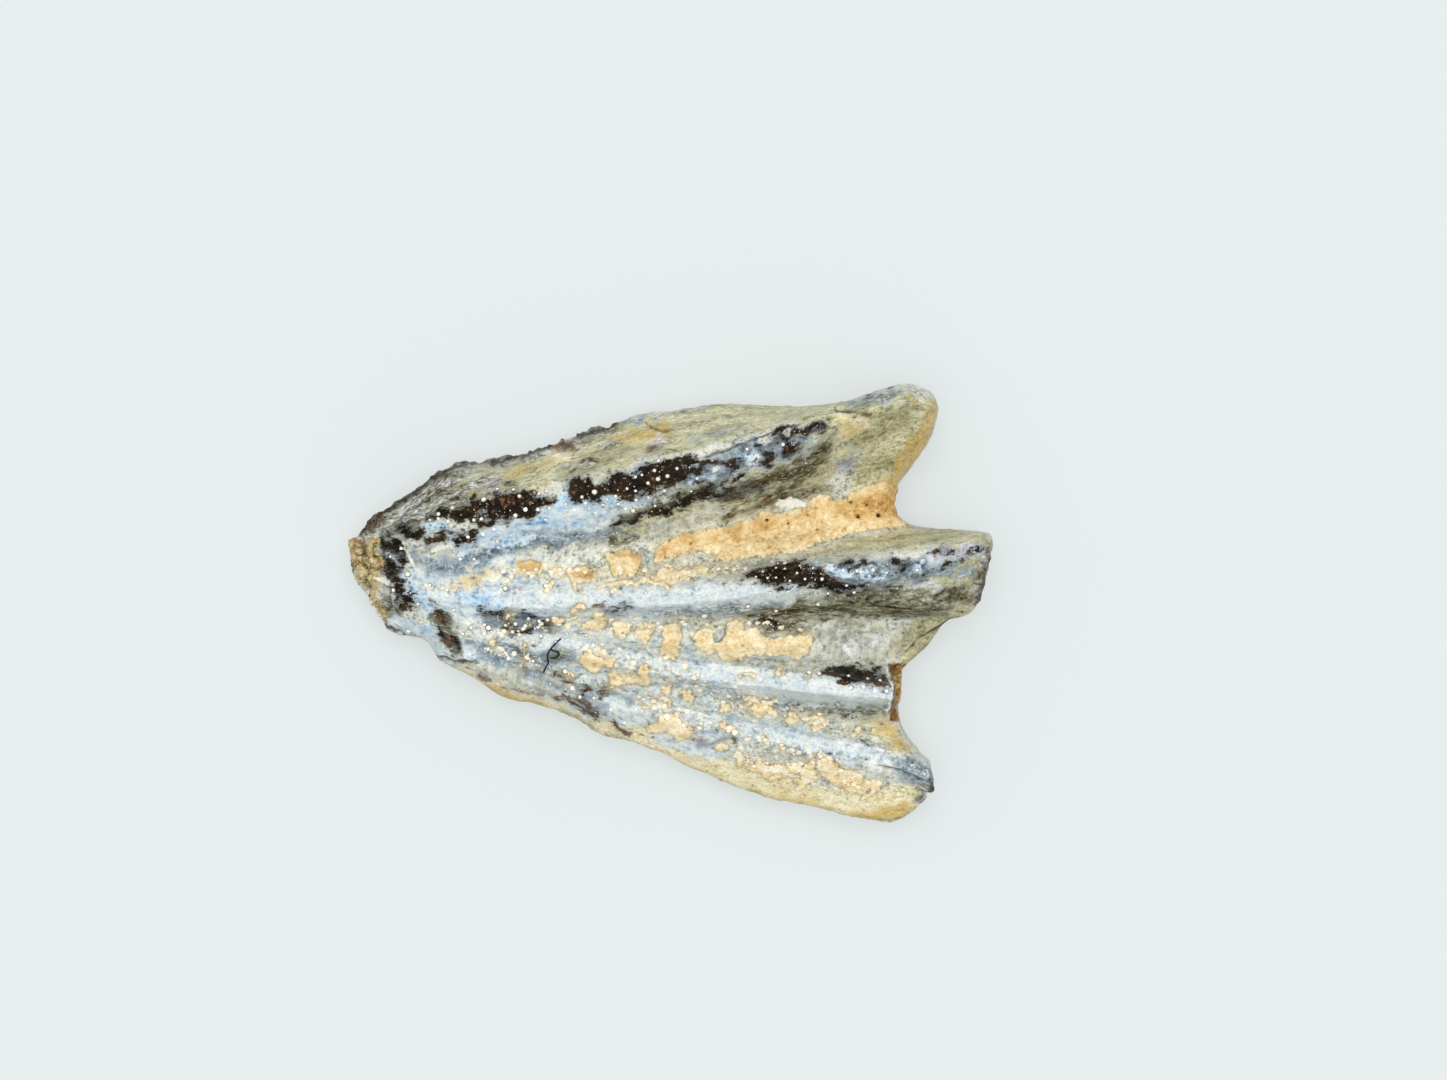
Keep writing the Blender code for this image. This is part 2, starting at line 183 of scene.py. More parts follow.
WHITE = {
    "second crest": [
        (500, 597, 3), (560, 600, 7), (620, 598, 11), (690, 598, 12), (745, 594, 9), (792, 592, 5),
    ],
    "third crest": [
        (585, 653, 5), (650, 663, 8), (700, 674, 9), (760, 688, 10), (830, 695, 9), (880, 697, 8),
    ],
    "fourth crest": [
        (640, 702, 5), (680, 709, 6), (730, 723, 6), (790, 740, 4), (850, 752, 3), (890, 762, 1),
    ],
    "behind the apex": [(412, 592, 3), (440, 599, 4), (462, 602, 2)],
    "lateral lobe": [(392, 618, 3), (402, 621, 5), (416, 628, 5), (430, 638, 4)],
    "middle": [(540, 580, 2), (590, 590, 4)],
    "lateral": [(655, 735, 3), (672, 739, 4)],
    "plate under": [(480, 636, 3), (560, 640, 5), (610, 640, 6), (655, 648, 4)],
    "pocket of the facet": [(748, 459, 2), (752, 457, 1)],
    "groove's wisps": [(842, 632, 1), (850, 644, 2), (856, 656, 1)],
    "groove's wisps, labial": [(868, 626, 0.5), (874, 638, 1.5), (884, 644, 0.5)],
}
SKY = {
    "streak by the apex": [(420, 522, 2.5), (431, 529, 4.5), (444, 532, 4), (456, 534, 2.5)],
    "fleck in the first groove": [(460, 553, 3), (468, 550, 3.5), (474, 547, 2)],
    "band, apex end": [(476, 536, 3), (503, 533, 5), (530, 525, 4)],
    "gap in the dark crest": [(547, 516, 4), (560, 503, 7), (572, 491, 5)],
    "under the dark crest": [(586, 500, 2.5), (600, 499, 4), (614, 496, 2.5)],
    "band": [(470, 537, 4), (500, 532, 7), (530, 525, 9), (562, 516, 11), (595, 507, 9), (630, 499, 5)],
    "lower band": [(466, 549, 3), (500, 545, 3), (530, 538, 4)],
    "edge of the apex band": [(399, 577, 3), (409, 587, 4), (418, 598, 5), (424, 606, 3)],
    "field": [(466, 600, 7), (484, 604, 9), (504, 606, 7)],
    "field, apex end": [(425, 592, 2), (440, 598, 3), (452, 602, 2)],
    "spot on the third crest": [(708, 678, 2), (715, 679, 4)],
    "facet, apex end": [(686, 482, 2), (700, 478, 3), (716, 474, 2)],
    "facet pocket": [(740, 462, 3), (749, 459, 5), (755, 453, 2)],
    "facet, lower edge": [(733, 476, 2), (752, 470, 2)],
    "second facet, apex end": [(818, 564, 2), (835, 569, 4), (850, 572, 4)],
    "second facet, middle": [(862, 573, 3), (876, 577, 4), (888, 575, 3)],
    "second facet, labial": [(900, 577, 2), (917, 569, 4), (923, 563, 2)],
    "dark spot's heart": [(770, 578, 2.5), (774, 578, 2.5)],
    "under the third": [(579, 681, 3), (588, 681, 5), (596, 682, 3)],
    "knob": [(914, 766, 1), (926, 769, 1)],
    "lobe": [(394, 617, 4), (406, 622, 5), (420, 628, 4), (430, 634, 4)],
    "lower lobe": [(464, 645, 3), (470, 655, 4)],
    "apex glint": [(388, 554, 3), (393, 557, 4), (398, 561, 2)],
    "ridge 4 shade": [(772, 739, 2), (790, 746, 3)],
}
UMBER = {
    "first crest, apex end": [(428, 518, 1), (442, 514, 3), (458, 516, 5), (472, 513, 5)],
    "first crest, left": [(478, 503, 7), (492, 509, 11), (508, 506, 13), (524, 503, 10), (547, 501, 6)],
    "first crest, left gap": [(474, 520, 5), (490, 521, 4), (508, 516, 5)],
    "first crest, middle": [(575, 486, 7), (581, 494, 11), (590, 487, 8), (604, 490, 8), (617, 486, 11)],
    "first crest, black": [
        (612, 486, 10), (632, 484, 12), (650, 479, 15), (668, 474, 14), (682, 466, 9), (694, 462, 3),
    ],
    "over the facet": [(716, 462, 2), (728, 464, 5), (739, 467, 4)],
    "facet mottles, apex end": [(690, 470, 2), (702, 468, 3), (712, 463, 2)],
    "facet mottles, lower": [(704, 486, 2), (722, 482, 2), (744, 477, 1)],
    "facet mottles": [(764, 447, 2), (770, 455, 3), (766, 462, 2)],
    "facet mottles, labial": [(784, 440, 3), (790, 450, 3), (800, 447, 2)],
    "second facet mottles": [(842, 563, 0.5), (852, 566, 1), (862, 562, 0.5)],
    "second facet mottles, lower": [(836, 582, 2), (858, 586, 1), (880, 583, 0.5)],
    "second facet mottles, labial": [(908, 562, 1), (914, 576, 0.5), (936, 566, 0.5)],
    "facet's labial end": [(758, 444, 0.5), (775, 438, 1), (790, 433, 2), (806, 430, 3), (822, 425, 1.5)],
    "second crest": [(746, 578, 2), (763, 575, 8), (782, 573, 12), (800, 572, 12), (816, 576, 7)],
    "second crest, lower": [(812, 580, 6), (828, 584, 7), (848, 588, 5)],
    "third crest": [(826, 673, 2), (840, 673, 5), (862, 676, 7), (886, 679, 7)],
    "apex band": [(384, 541, 3), (391, 545, 5), (402, 550, 4), (404, 558, 3)],
    "apex band, middle": [(382, 556, 3), (386, 566, 6), (398, 568, 5)],
    "apex band, lower": [(388, 576, 5), (395, 584, 4), (404, 592, 5), (408, 600, 6), (398, 607, 3)],
    "apex band, top": [(398, 533, 5), (410, 530, 5), (424, 534, 4)],
    "dark island": [(434, 606, 1), (441, 612, 2), (446, 622, 1)],
    "dark island, lower": [(438, 630, 1), (452, 640, 2), (458, 650, 2)],
    "rows by the island": [(486, 612, 2), (500, 617, 3), (512, 623, 2)],
    "rows, middle": [(524, 617, 2), (538, 621, 3), (552, 620, 2)],
    "rows, lower": [(506, 629, 1.5), (522, 632, 2), (534, 630, 1)],
    "under the facet": [
        (612, 528, 1), (636, 519, 3), (664, 508, 4), (696, 499, 3), (735, 492, 2), (760, 487, 1),
    ],
    "lateral line": [(553, 673, 0), (574, 684, 0.5), (592, 692, 0.5), (609, 695, 0)],
    "lateral blot": [(562, 698, 0.5), (576, 703, 1.5), (590, 709, 2), (599, 717, 1)],
    "lateral hook": [(613, 722, 1.5), (622, 732, 2)],
    "second groove": [(566, 608, 0), (590, 609, 0), (612, 607, 1), (628, 606, 1)],
    "second groove, labial": [(752, 624, 3), (764, 620, 4), (776, 626, 3)],
    "lens": [(417, 536, 2), (434, 539, 3), (451, 537, 1.5)],
    "oval": [(461, 538, 5), (474, 538, 5)],
    "facet freckles": [(893, 562, 1), (904, 567, 2), (900, 575, 0.5)],
    "tip freckles": [(965, 556, 1), (973, 553, 1)],
    "tip freckles, upper row": [(926, 557, -0.5), (938, 552, 0), (952, 550, -0.5)],
    "tip freckles, lower row": [(944, 562, -0.5), (956, 562, 0), (978, 549, 0), (986, 547, -0.5)],
}
FLANK = {
    "first ridge's flank": [
        (600, 531, 1), (623, 521, 5), (656, 506, 8), (690, 498, 9), (730, 494, 10), (765, 487, 12),
    ],
    "first ridge's flank, labial": [(765, 487, 12), (795, 475, 13), (818, 458, 10), (830, 442, 5)],
    "lower band": [(720, 521, 2), (745, 512, 4), (775, 500, 6), (805, 492, 6), (833, 489, 2)],
    "second ridge's flank": [
        (745, 612, 5), (780, 614, 9), (815, 608, 11), (850, 604, 14), (900, 603, 16), (940, 603, 13),
    ],
    "second ridge's tip": [(945, 600, 12), (968, 594, 8), (976, 580, 4)],
    "second groove's dark": [(757, 627, 6), (785, 626, 8), (806, 630, 5)],
    "third groove": [(800, 709, 1), (825, 712, 3), (850, 713, 3), (884, 714, 3)],
    "third crest's lower edge": [(770, 692, 0.5), (810, 697, 1), (850, 701, 1), (884, 703, 0.5)],
    "mesial border": [(366, 532, 3), (385, 522, 7), (410, 504, 8), (440, 486, 8), (458, 474, 5)],
    "spots in the first groove": [(612, 540, 3), (628, 540, 5), (636, 536, 3)],
    "lateral streak": [(560, 671, 3), (590, 680, 4), (610, 690, 4)],
    "apex grey": [(384, 606, 4), (388, 600, 4)],
    "apex band": [(384, 541, 5), (391, 550, 8), (392, 568, 8), (402, 592, 7)],
    "first crest, apex end": [(422, 516, 5), (442, 510, 9), (462, 508, 9), (480, 512, 5)],
    "first facet's labial end": [(780, 438, 3), (800, 432, 6), (822, 427, 5), (832, 430, 3)],
    "dark island": [(434, 606, 3), (440, 614, 8), (446, 624, 8)],
    "dark island, lower": [(444, 632, 7), (452, 642, 9), (458, 653, 7)],
    "by the hair": [(552, 656, 3), (560, 650, 4), (570, 648, 3)],
    "lateral foot": [(446, 662, 1), (464, 664, 1.5), (476, 662, 1)],
}
SLATE = {
    "second groove, apex end": [(478, 614, 5), (500, 620, 9), (530, 624, 10), (560, 623, 7)],
    "second groove, rings": [(604, 609, 3), (634, 610, 3)],
    "second groove, middle": [(640, 610, 3), (670, 612, 5), (705, 611, 6), (745, 608, 6), (780, 602, 4)],
    "by the hair line": [(500, 642, 5), (522, 654, 8), (545, 662, 8), (556, 650, 7), (574, 656, 4)],
    "lateral field": [(470, 640, 4), (486, 652, 6), (510, 662, 6), (540, 674, 5)],
    "third flank": [(740, 696, 2), (770, 701, 5), (805, 705, 6), (850, 707, 6), (886, 708, 5)],
    "fourth flank": [(770, 738, 2), (785, 746, 5), (802, 752, 4)],
    "under the blue band": [
        (440, 560, 3), (466, 558, 5), (500, 551, 7), (535, 542, 8), (580, 537, 7), (630, 533, 3),
    ],
    "apex field": [(414, 558, 4), (432, 566, 8), (450, 568, 9), (470, 562, 10), (492, 556, 6)],
    "blue band's tip": [(570, 540, 3), (600, 536, 4), (622, 530, 3)],
    "facet's shade": [(800, 462, 7), (820, 448, 4)],
    "second facet's shade": [(842, 594, 4), (880, 588, 5), (920, 578, 5), (950, 568, 4)],
    "cusp, worn": [(850, 404, 2), (868, 402, 3), (880, 398, 4), (897, 395, 3)],
    "cusp, lower": [(838, 466, 3), (850, 464, 3)],
    "mesial ledge": [(394, 521, 1.5), (407, 507, 2), (432, 498, 1.5), (468, 474, 1.5)],
    "lateral shade": [(660, 716, 3), (640, 700, 3), (612, 698, 4)],
    "knob": [(902, 767, 7), (918, 773, 15), (928, 779, 13)],
    "tip of the second ridge": [(952, 573, 4), (970, 572, 5)],
    "knob, lower": [(919, 797, 4)],
    "second facet, mottled": [(814, 568, 8), (850, 572, 13), (890, 572, 13), (922, 566, 8)],
    "first facet, mottled": [(688, 478, 9), (715, 468, 13), (745, 458, 14), (780, 447, 13), (805, 438, 8)],
    "lateral, apex end": [(470, 656, 2), (500, 664, 3), (545, 680, 3), (585, 698, 3), (606, 706, 3)],
    "pillar in the matrix": [(646, 556, 3), (652, 566, 4)],
    "mesial grey": [(690, 438, 1), (715, 433, 2), (740, 428, 1)],
    "grey on the edge": [(622, 423, 3), (638, 421, 4)],
    "fourth crest's end": [(700, 746, 3), (722, 741, 3)],
    "third crest's lower side": [(690, 690, 1), (730, 698, 3), (780, 703, 3)],
    "third crest, marks": [(640, 652, 1), (664, 656, 2), (690, 664, 1)],
    "third crest, labial marks": [(736, 676, 1), (764, 680, 2), (800, 686, 1)],
    "fourth crest, marks": [(700, 722, 1), (740, 730, 2), (780, 740, 1)],
}
GREY = {
    "second groove": [(818, 632, 7), (846, 642, 18), (880, 646, 12)],
    "first groove, apex end": [(420, 563, 7), (440, 566, 12), (462, 560, 8)],
    "over the second crest": [(722, 570, 6), (750, 568, 7), (792, 556, 4)],
    "lateral, apex end": [(480, 666, 6), (510, 670, 12), (545, 682, 10), (580, 696, 9), (605, 712, 7)],
    "first groove, middle": [(690, 520, 9), (730, 508, 6), (650, 534, 9)],
    "third groove": [(760, 704, 9), (820, 709, 8), (880, 712, 6)],
    "fourth flank": [(700, 748, 8), (750, 755, 7), (800, 757, 8), (880, 775, 8)],
    "second groove, plates": [(590, 632, 7), (660, 640, 9), (720, 645, 9), (780, 655, 5)],
}
OLIVE = {
    "first ridge's flank": [(620, 532, 6), (680, 515, 14), (740, 500, 18), (800, 478, 20), (835, 455, 14)],
    "beside the first dark": [(425, 512, 6), (445, 500, 11), (470, 490, 14), (500, 482, 13), (540, 482, 8)],
    "mesial wall": [
        (470, 492, 6), (520, 474, 13), (570, 460, 15), (620, 444, 20), (680, 432, 20), (740, 420, 17),
    ],
    "mesial wall, labial": [(740, 420, 17), (800, 410, 12), (845, 402, 8)],
    "cusp": [(810, 420, 8), (845, 424, 20), (880, 425, 26), (905, 420, 28)],
    "cusp's foot": [(885, 450, 20), (872, 472, 16), (862, 484, 12)],
    "second ridge, mesial flank": [(800, 556, 2), (850, 545, 6), (900, 537, 9), (950, 536, 9), (988, 542, 8)],
    "tip": [(988, 556, 6), (980, 580, 12), (965, 605, 14), (945, 622, 14), (925, 640, 14), (912, 655, 12)],
    "lateral border, apex end": [(470, 684, 5), (520, 704, 7), (580, 727, 8), (620, 742, 9)],
    "lateral border": [
        (620, 742, 9), (680, 766, 10), (740, 788, 12), (800, 803, 15), (860, 812, 19), (905, 802, 18),
    ],
    "third groove's mouth": [(866, 724, 6), (893, 740, 12)],
}
MOSS = {
    "cusp": [(856, 444, 7), (874, 436, 11), (892, 424, 10), (908, 412, 7)],
    "cusp's foot": [(846, 464, 6), (866, 466, 12), (884, 462, 9)],
    "cusp's top": [(850, 408, 3), (872, 404, 4), (890, 404, 4)],
    "beside the first dark": [(432, 508, 6), (448, 498, 9), (470, 488, 8), (492, 484, 6), (516, 482, 4)],
    "mesial border": [(392, 520, 4), (418, 502, 5), (444, 484, 4), (480, 470, 3), (540, 454, 2)],
    "mesial wall, middle": [(590, 458, 4), (620, 452, 4), (660, 448, 4)],
    "tip of the second ridge": [(936, 574, 8), (960, 577, 13), (978, 566, 9)],
    "broken ledge": [(900, 642, 9), (922, 628, 11), (944, 614, 9)],
    "ledge's face": [(912, 654, 5), (932, 640, 8), (952, 622, 5)],
    "groove's mouth": [(868, 656, 5), (884, 652, 7), (896, 646, 5)],
    "second groove, olive": [(836, 618, 5), (856, 630, 7), (878, 636, 8)],
    "second ridge's mesial flank": [(850, 540, 1), (900, 535, 0.5), (950, 536, 1)],
    "third groove's mouth": [(866, 716, 4), (884, 720, 4)],
    "above the first crest": [(560, 478, 4), (590, 470, 4), (620, 466, 3)],
}
TAN = {
    "lateral wall": [
        (596, 722, 5), (640, 739, 9), (700, 763, 14), (760, 783, 14), (820, 800, 15), (880, 808, 15),
    ],
    "lateral cusp": [(880, 806, 16), (905, 800, 13), (918, 790, 6)],
    "broken ledge": [(902, 656, 3), (920, 640, 4), (940, 626, 3), (952, 612, 1)],
    "third groove's mouth": [(872, 720, 6), (890, 736, 9), (904, 750, 5)],
    "lateral, apex end": [(462, 670, 4), (490, 682, 5), (520, 694, 5), (560, 709, 4)],
    "mesial patches": [(620, 438, 5), (632, 436, 5), (660, 440, 4)],
    "cusp": [(838, 414, 5), (850, 434, 7), (866, 418, 4), (872, 410, 3)],
    "apex foot": [(374, 594, 3), (378, 606, 4)],
    "mesial wall": [(560, 462, 9), (540, 466, 6)],
    "apex field": [(430, 588, 7), (448, 590, 8)],
}
CREAM = {
    "apex field": [(424, 588, 0), (440, 590, 1), (458, 592, 0)],
    "band behind the apex": [
        (446, 590, 2), (472, 579, 6), (505, 571, 4), (545, 571, 6), (600, 574, 7), (650, 573, 4),
    ],
    "between the plates": [(578, 656, 1), (610, 660, 2), (640, 674, 2)],
    "under the fill": [(650, 575, 3), (700, 572, 3), (740, 568, 1)],
    "by the small plates": [(560, 618, 1), (590, 616, 2), (620, 618, 1)],
}
CRAG = {
    "border": [(366, 532, 6), (385, 516, 12), (408, 500, 15), (432, 485, 14), (455, 473, 9), (470, 465, 5)],
    "inner ledge": [(392, 532, 7), (416, 516, 11), (442, 502, 11), (466, 492, 7), (480, 480, 4)],
    "border, middle": [(470, 466, 4), (500, 462, 4), (540, 452, 3), (560, 447, 4)],
    "tip's edge": [(986, 546, 3), (984, 562, 4), (980, 578, 4)],
    "apex foot": [(384, 604, 4), (389, 612, 3)],
    "labial face of the tip": [(958, 604, 5), (974, 598, 7), (984, 580, 5)],
    "knob's foot": [(926, 786, 6), (921, 796, 4)],
    "far border": [(560, 446, 3), (600, 433, 4), (618, 428, 3)],
    "mottles": [(436, 506, 5), (450, 499, 5), (462, 492, 3)],
    "mottles by the first dark": [(490, 490, 3), (504, 485, 4), (516, 484, 2)],
    "wall marks": [(560, 470, 2), (572, 468, 3), (590, 462, 2)],
    "wall marks, middle": [(600, 448, 2), (616, 446, 2)],
    "cusp's worn top": [(864, 402, 0), (880, 397, 1.5), (896, 394, 1), (906, 400, 1)],
}
BONE = {
    "outer lump": [(357, 548, 8), (360, 562, 8), (364, 578, 6)],
    "inner lump": [(372, 545, 8), (375, 560, 8), (373, 572, 6)],
    "foot": [(372, 590, 5), (378, 604, 6), (385, 618, 4)],
}
MAUVE = {
    "above the first dark": [(487, 486, 6), (500, 482, 6)],
    "cusp's foot": [(840, 468, 5), (852, 464, 5)],
    "beside the second dark": [(818, 578, 5), (835, 582, 6), (848, 588, 4)],
    "lateral patch": [(826, 781, 4), (834, 785, 4)],
    "knob's foot": [(918, 798, 5)],
    "mesial spot": [(650, 444, 5), (660, 441, 5)],
    "lobe's lower edge": [(390, 622, 2), (404, 629, 2), (420, 638, 2)],
    "ridge 2's tip": [(918, 558, 3), (940, 554, 4), (962, 552, 4)],
    "second facet": [(893, 566, 6), (906, 562, 6)],
    "middle": [(512, 591, 6), (522, 590, 4)],
    "facet": [(700, 474, 5), (735, 466, 6), (795, 446, 6)],
    "groove": [(838, 626, 2), (856, 640, 2), (876, 650, 2)],
    "fourth flank": [(652, 694, 5), (700, 740, 5)],
}
CRUMBLE = {
    "under the fill": [(648, 566, 8), (690, 571, 9), (740, 566, 6), (790, 560, 4)],
    "fill's apex end": [(500, 578, 9), (550, 572, 10), (600, 573, 10), (650, 580, 6)],
    "apex patch": [(432, 588, 8), (450, 589, 7)],
    "second groove, apex end": [(484, 634, 5), (510, 630, 8), (550, 626, 8), (580, 618, 6)],
    "lateral field": [(484, 648, 4), (515, 656, 8), (560, 664, 7)],
    "between the plates": [
        (590, 650, 12), (640, 660, 14), (690, 680, 14), (740, 700, 14), (800, 716, 12), (850, 730, 8),
    ],
    "under the plates": [(640, 700, 10), (690, 712, 12), (740, 735, 12), (790, 748, 12), (840, 760, 8)],
    "lateral": [(735, 752, 9), (780, 768, 10), (840, 780, 12), (870, 790, 8)],
    "second groove": [(600, 624, 8), (680, 626, 10), (760, 622, 8), (800, 630, 6)],
}
OCHRE = {
    "apex": [(368, 552, 9), (372, 570, 8), (376, 584, 4)],
    "cusp's labial edge": [(934, 408, 6), (932, 426, 9), (916, 450, 10), (902, 468, 11), (892, 484, 9)],
    "cusp's body": [(842, 422, 2), (850, 434, 4), (862, 424, 2)],
    "cusp's tip": [(908, 397, 3), (916, 402, 3)],
    "mesial wall": [(496, 482, 2), (520, 470, 3), (548, 463, 2)],
    "mesial wall, middle": [(612, 440, 4), (636, 434, 5), (664, 430, 5)],
    "mesial wall, apex end": [(462, 498, 3), (474, 492, 4)],
    "lateral edge, apex end": [(474, 682, 3), (500, 693, 4), (530, 704, 4), (560, 715, 4), (590, 728, 4)],
    "lateral edge": [
        (610, 744, 2), (650, 758, 2), (690, 774, 3), (730, 790, 3), (770, 801, 4), (820, 815, 4),
    ],
    "lateral cusp": [(830, 815, 4), (870, 820, 5), (905, 812, 5)],
    "third groove's mouth": [(882, 724, 2), (894, 738, 4), (904, 748, 3)],
}
AMBER = {
    "cusp's labial edge": [(934, 418, 2), (922, 446, 5), (906, 468, 7), (894, 486, 9)],
    "fill, labial": [(840, 512, 5), (858, 508, 12), (878, 504, 15), (894, 512, 10)],
    "fill, first spot": [(712, 541, 4), (722, 540, 3)],
    "fill, second spot": [(680, 538, 4), (690, 536, 3)],
    "fill, third spot": [(728, 528, 5), (738, 526, 3)],
    "fill, fourth spot": [(758, 524, 4), (770, 520, 4)],
    "fill, left": [(622, 556, 3), (634, 560, 3)],
    "patch": [(518, 566, 3), (532, 565, 4), (542, 567, 3)],
    "patch, further left": [(556, 566, 3), (568, 574, 5), (588, 574, 6)],
    "apex side": [(454, 587, 1), (464, 582, 4), (476, 576, 5), (486, 571, 3)],
    "lateral edge": [(772, 791, 2), (790, 797, 4), (812, 803, 4)],
    "lateral cusp": [(850, 814, 3), (885, 815, 5), (912, 806, 4)],
    "lateral patch": [(846, 786, 3)],
    "fracture": [(900, 672, 2), (900, 700, 2)],
    "third groove's mouth": [(884, 722, 4), (895, 736, 5)],
    "lateral edge, apex": [(500, 690, 3), (520, 697, 3)],
    "big plate": [(746, 645, 1)],
}
RUST = {
    "mesial spot": [(559, 446, 3), (572, 447, 4)],
    "mesial line": [(579, 461, 1.5), (597, 461, 1.8)],
    "mesial mark": [(650, 449, 2.5), (657, 447, 2.2)],
    "cusp mark": [(860, 414, 2.2), (871, 415, 3)],
    "apex lumps": [(361, 543, 1.5), (368, 556, 1.5)],
    "apex foot": [(366, 581, 1.5), (371, 588, 1)],
    "apex rim": [(351, 562, 1.5), (353, 573, 1.5)],
    "lateral streak": [(555, 697, 1.2), (572, 699, 2.4), (587, 705, 2.8), (598, 713, 2.8), (596, 721, 1.4)],
    "upper lateral streak": [(555, 673, 1), (566, 681, 1.2), (587, 689, 1.2), (607, 695, 0.8)],
    "lateral hook": [(612, 721, 1), (619, 730, 1.4), (630, 735, 1)],
    "flank spot": [(766, 500, 1.5), (771, 498, 1.5)],
    "crest spots": [(493, 498, 0.4), (494, 511, 0.8)],
    "crest spots, middle": [(502, 499, 0.8), (503, 509, 0.6)],
    "crest spots, labial": [(512, 497, 0.4), (513, 507, 0.8)],
    "tip spot": [(967, 557, 3)],
    "lateral blot": [(480, 676, 2), (490, 680, 1.5)],
    "lateral blots": [(500, 688, 0.8), (516, 690, 1.2), (543, 694, 0.8)],
    "third crest bead": [(880, 682, 4)],
    "cream's edge": [(733, 735, 1.5), (735, 741, 1.5)],
    "mesial border": [(372, 530, 2), (384, 518, 2)],
    "dark island": [(436, 612, 2), (444, 622, 2.5)],
    "dark island, lower": [(446, 638, 2), (452, 650, 2.5)],
    "flank band": [(724, 518, 1), (745, 509, 1.2), (760, 505, 1)],
    "tip's labial edge": [(990, 545, 1), (989, 560, 1.8), (983, 576, 1.6), (977, 594, 1)],
}
CREASE = {
    "over the facet": [(692, 461, 0.4), (722, 452, 0.8), (750, 441, 0.4), (772, 432, 0.9), (800, 424, 0.6)],
    "under the facet": [(683, 493, 0.4), (706, 491, 0.8), (729, 483, 0.5)],
    "cusp": [(834, 408, 0.8), (848, 410, 1.1), (860, 412, 0.7)],
    "mesial crack": [(645, 421, 0.5), (652, 426, 0.8), (662, 430, 0.6), (676, 431, 0.3)],
    "mesial step": [(560, 446, 0.4), (586, 431, 0.7), (600, 429, 0.7), (615, 428, 0.4)],
    "fracture's edge": [(889, 664, 0.5), (892, 672, 0.8), (895, 690, 0.9), (893, 702, 0.8), (889, 714, 0.5)],
    "facet hollow": [(884, 584, 0.5), (897, 579, 0.8), (909, 573, 0.5)],
    "facet ring": [(866, 565, 0.9), (872, 562, 1.0), (878, 566, 1.0), (878, 573, 0.8)],
    "second ring": [(912, 566, 0.8), (918, 563, 0.9), (923, 568, 0.8)],
    "left ring": [(607, 613, 0.9), (609, 607, 1.1), (616, 607, 0.9)],
    "right ring": [(624, 612, 0.9), (628, 606, 1.1), (633, 610, 0.9)],
    "knob line": [(879, 766, 0.4), (904, 772, 0.7), (922, 781, 0.9)],
    "marks by the bead": [(818, 754, 0.9), (822, 751, 1.0), (832, 754, 0.9)],
    "apex lump's foot": [(362, 537, 0.2), (365, 548, 0.8), (364, 560, 0.2), (368, 572, 0.8), (367, 584, 0.3)],
    "apex lump's top": [(354, 552, 0.1), (360, 556, 0.5), (367, 553, 0.1)],
    "apex lump's middle": [(368, 566, 0.1), (376, 569, 0.5), (382, 567, 0.1)],
    "apex step": [(381, 541, 0.7), (383, 556, 0.9), (384, 570, 0.6), (389, 582, 0.9), (391, 608, 0.6)],
    "ledge": [(905, 655, 0.8), (920, 640, 0.9), (935, 630, 0.9), (955, 616, 0.8)],
    "slit in the ledge": [(912, 652, 0.5), (918, 644, 1.1), (921, 637, 0.5)],
    "second flank line": [(870, 590, 0.7), (905, 586, 0.8), (940, 578, 0.7)],
    "lobe": [
        (383, 618, 0.6), (387, 627, 1.0), (399, 632, 0.7), (414, 639, 0.7), (426, 648, 0.7), (438, 657, 1.1),
    ],
    "lobe's foot": [(438, 657, 1.1), (452, 661, 1.6), (466, 663, 1.2), (476, 662, 0.6)],
    "fill's notch": [(715, 640, 0.2), (719, 642, 0.6), (725, 634, 0.4), (726, 624, 0.2)],
}
CHALK = {
    "by the apex": [(403, 542, 1.0), (408, 553, 1.4), (414, 567, 1.2)],
    "blob": [(434, 550, 2.5), (441, 547, 3), (450, 543, 2)],
    "apex strip": [(375, 577, 1.5), (383, 580, 2.5), (391, 586, 2.0)],
    "apex rim": [(370, 590, 1.2), (376, 606, 1.2), (386, 622, 1.2)],
    "fracture's lip": [(887, 666, 0.8), (889, 680, 1.0), (893, 687, 1.2), (891, 700, 1.0), (887, 714, 0.8)],
    "pale lumps": [(778, 503, 3), (790, 503, 4.5), (803, 504, 3)],
    "knob lines": [(840, 742, 0.8), (880, 750, 1.0), (905, 755, 0.7)],
    "lateral lines": [(758, 765, 1.2), (785, 770, 1.6), (830, 790, 1.0)],
    "facet heart": [(754, 458, 2)],
    "groove drip": [(844, 641, 0.8), (847, 648, 0.9), (851, 657, 0.7)],
    "lateral crumb": [(875, 738, 3), (880, 740, 2)],
    "cusp rim": [(898, 384, 1), (914, 383, 1), (926, 388, 1)],
}
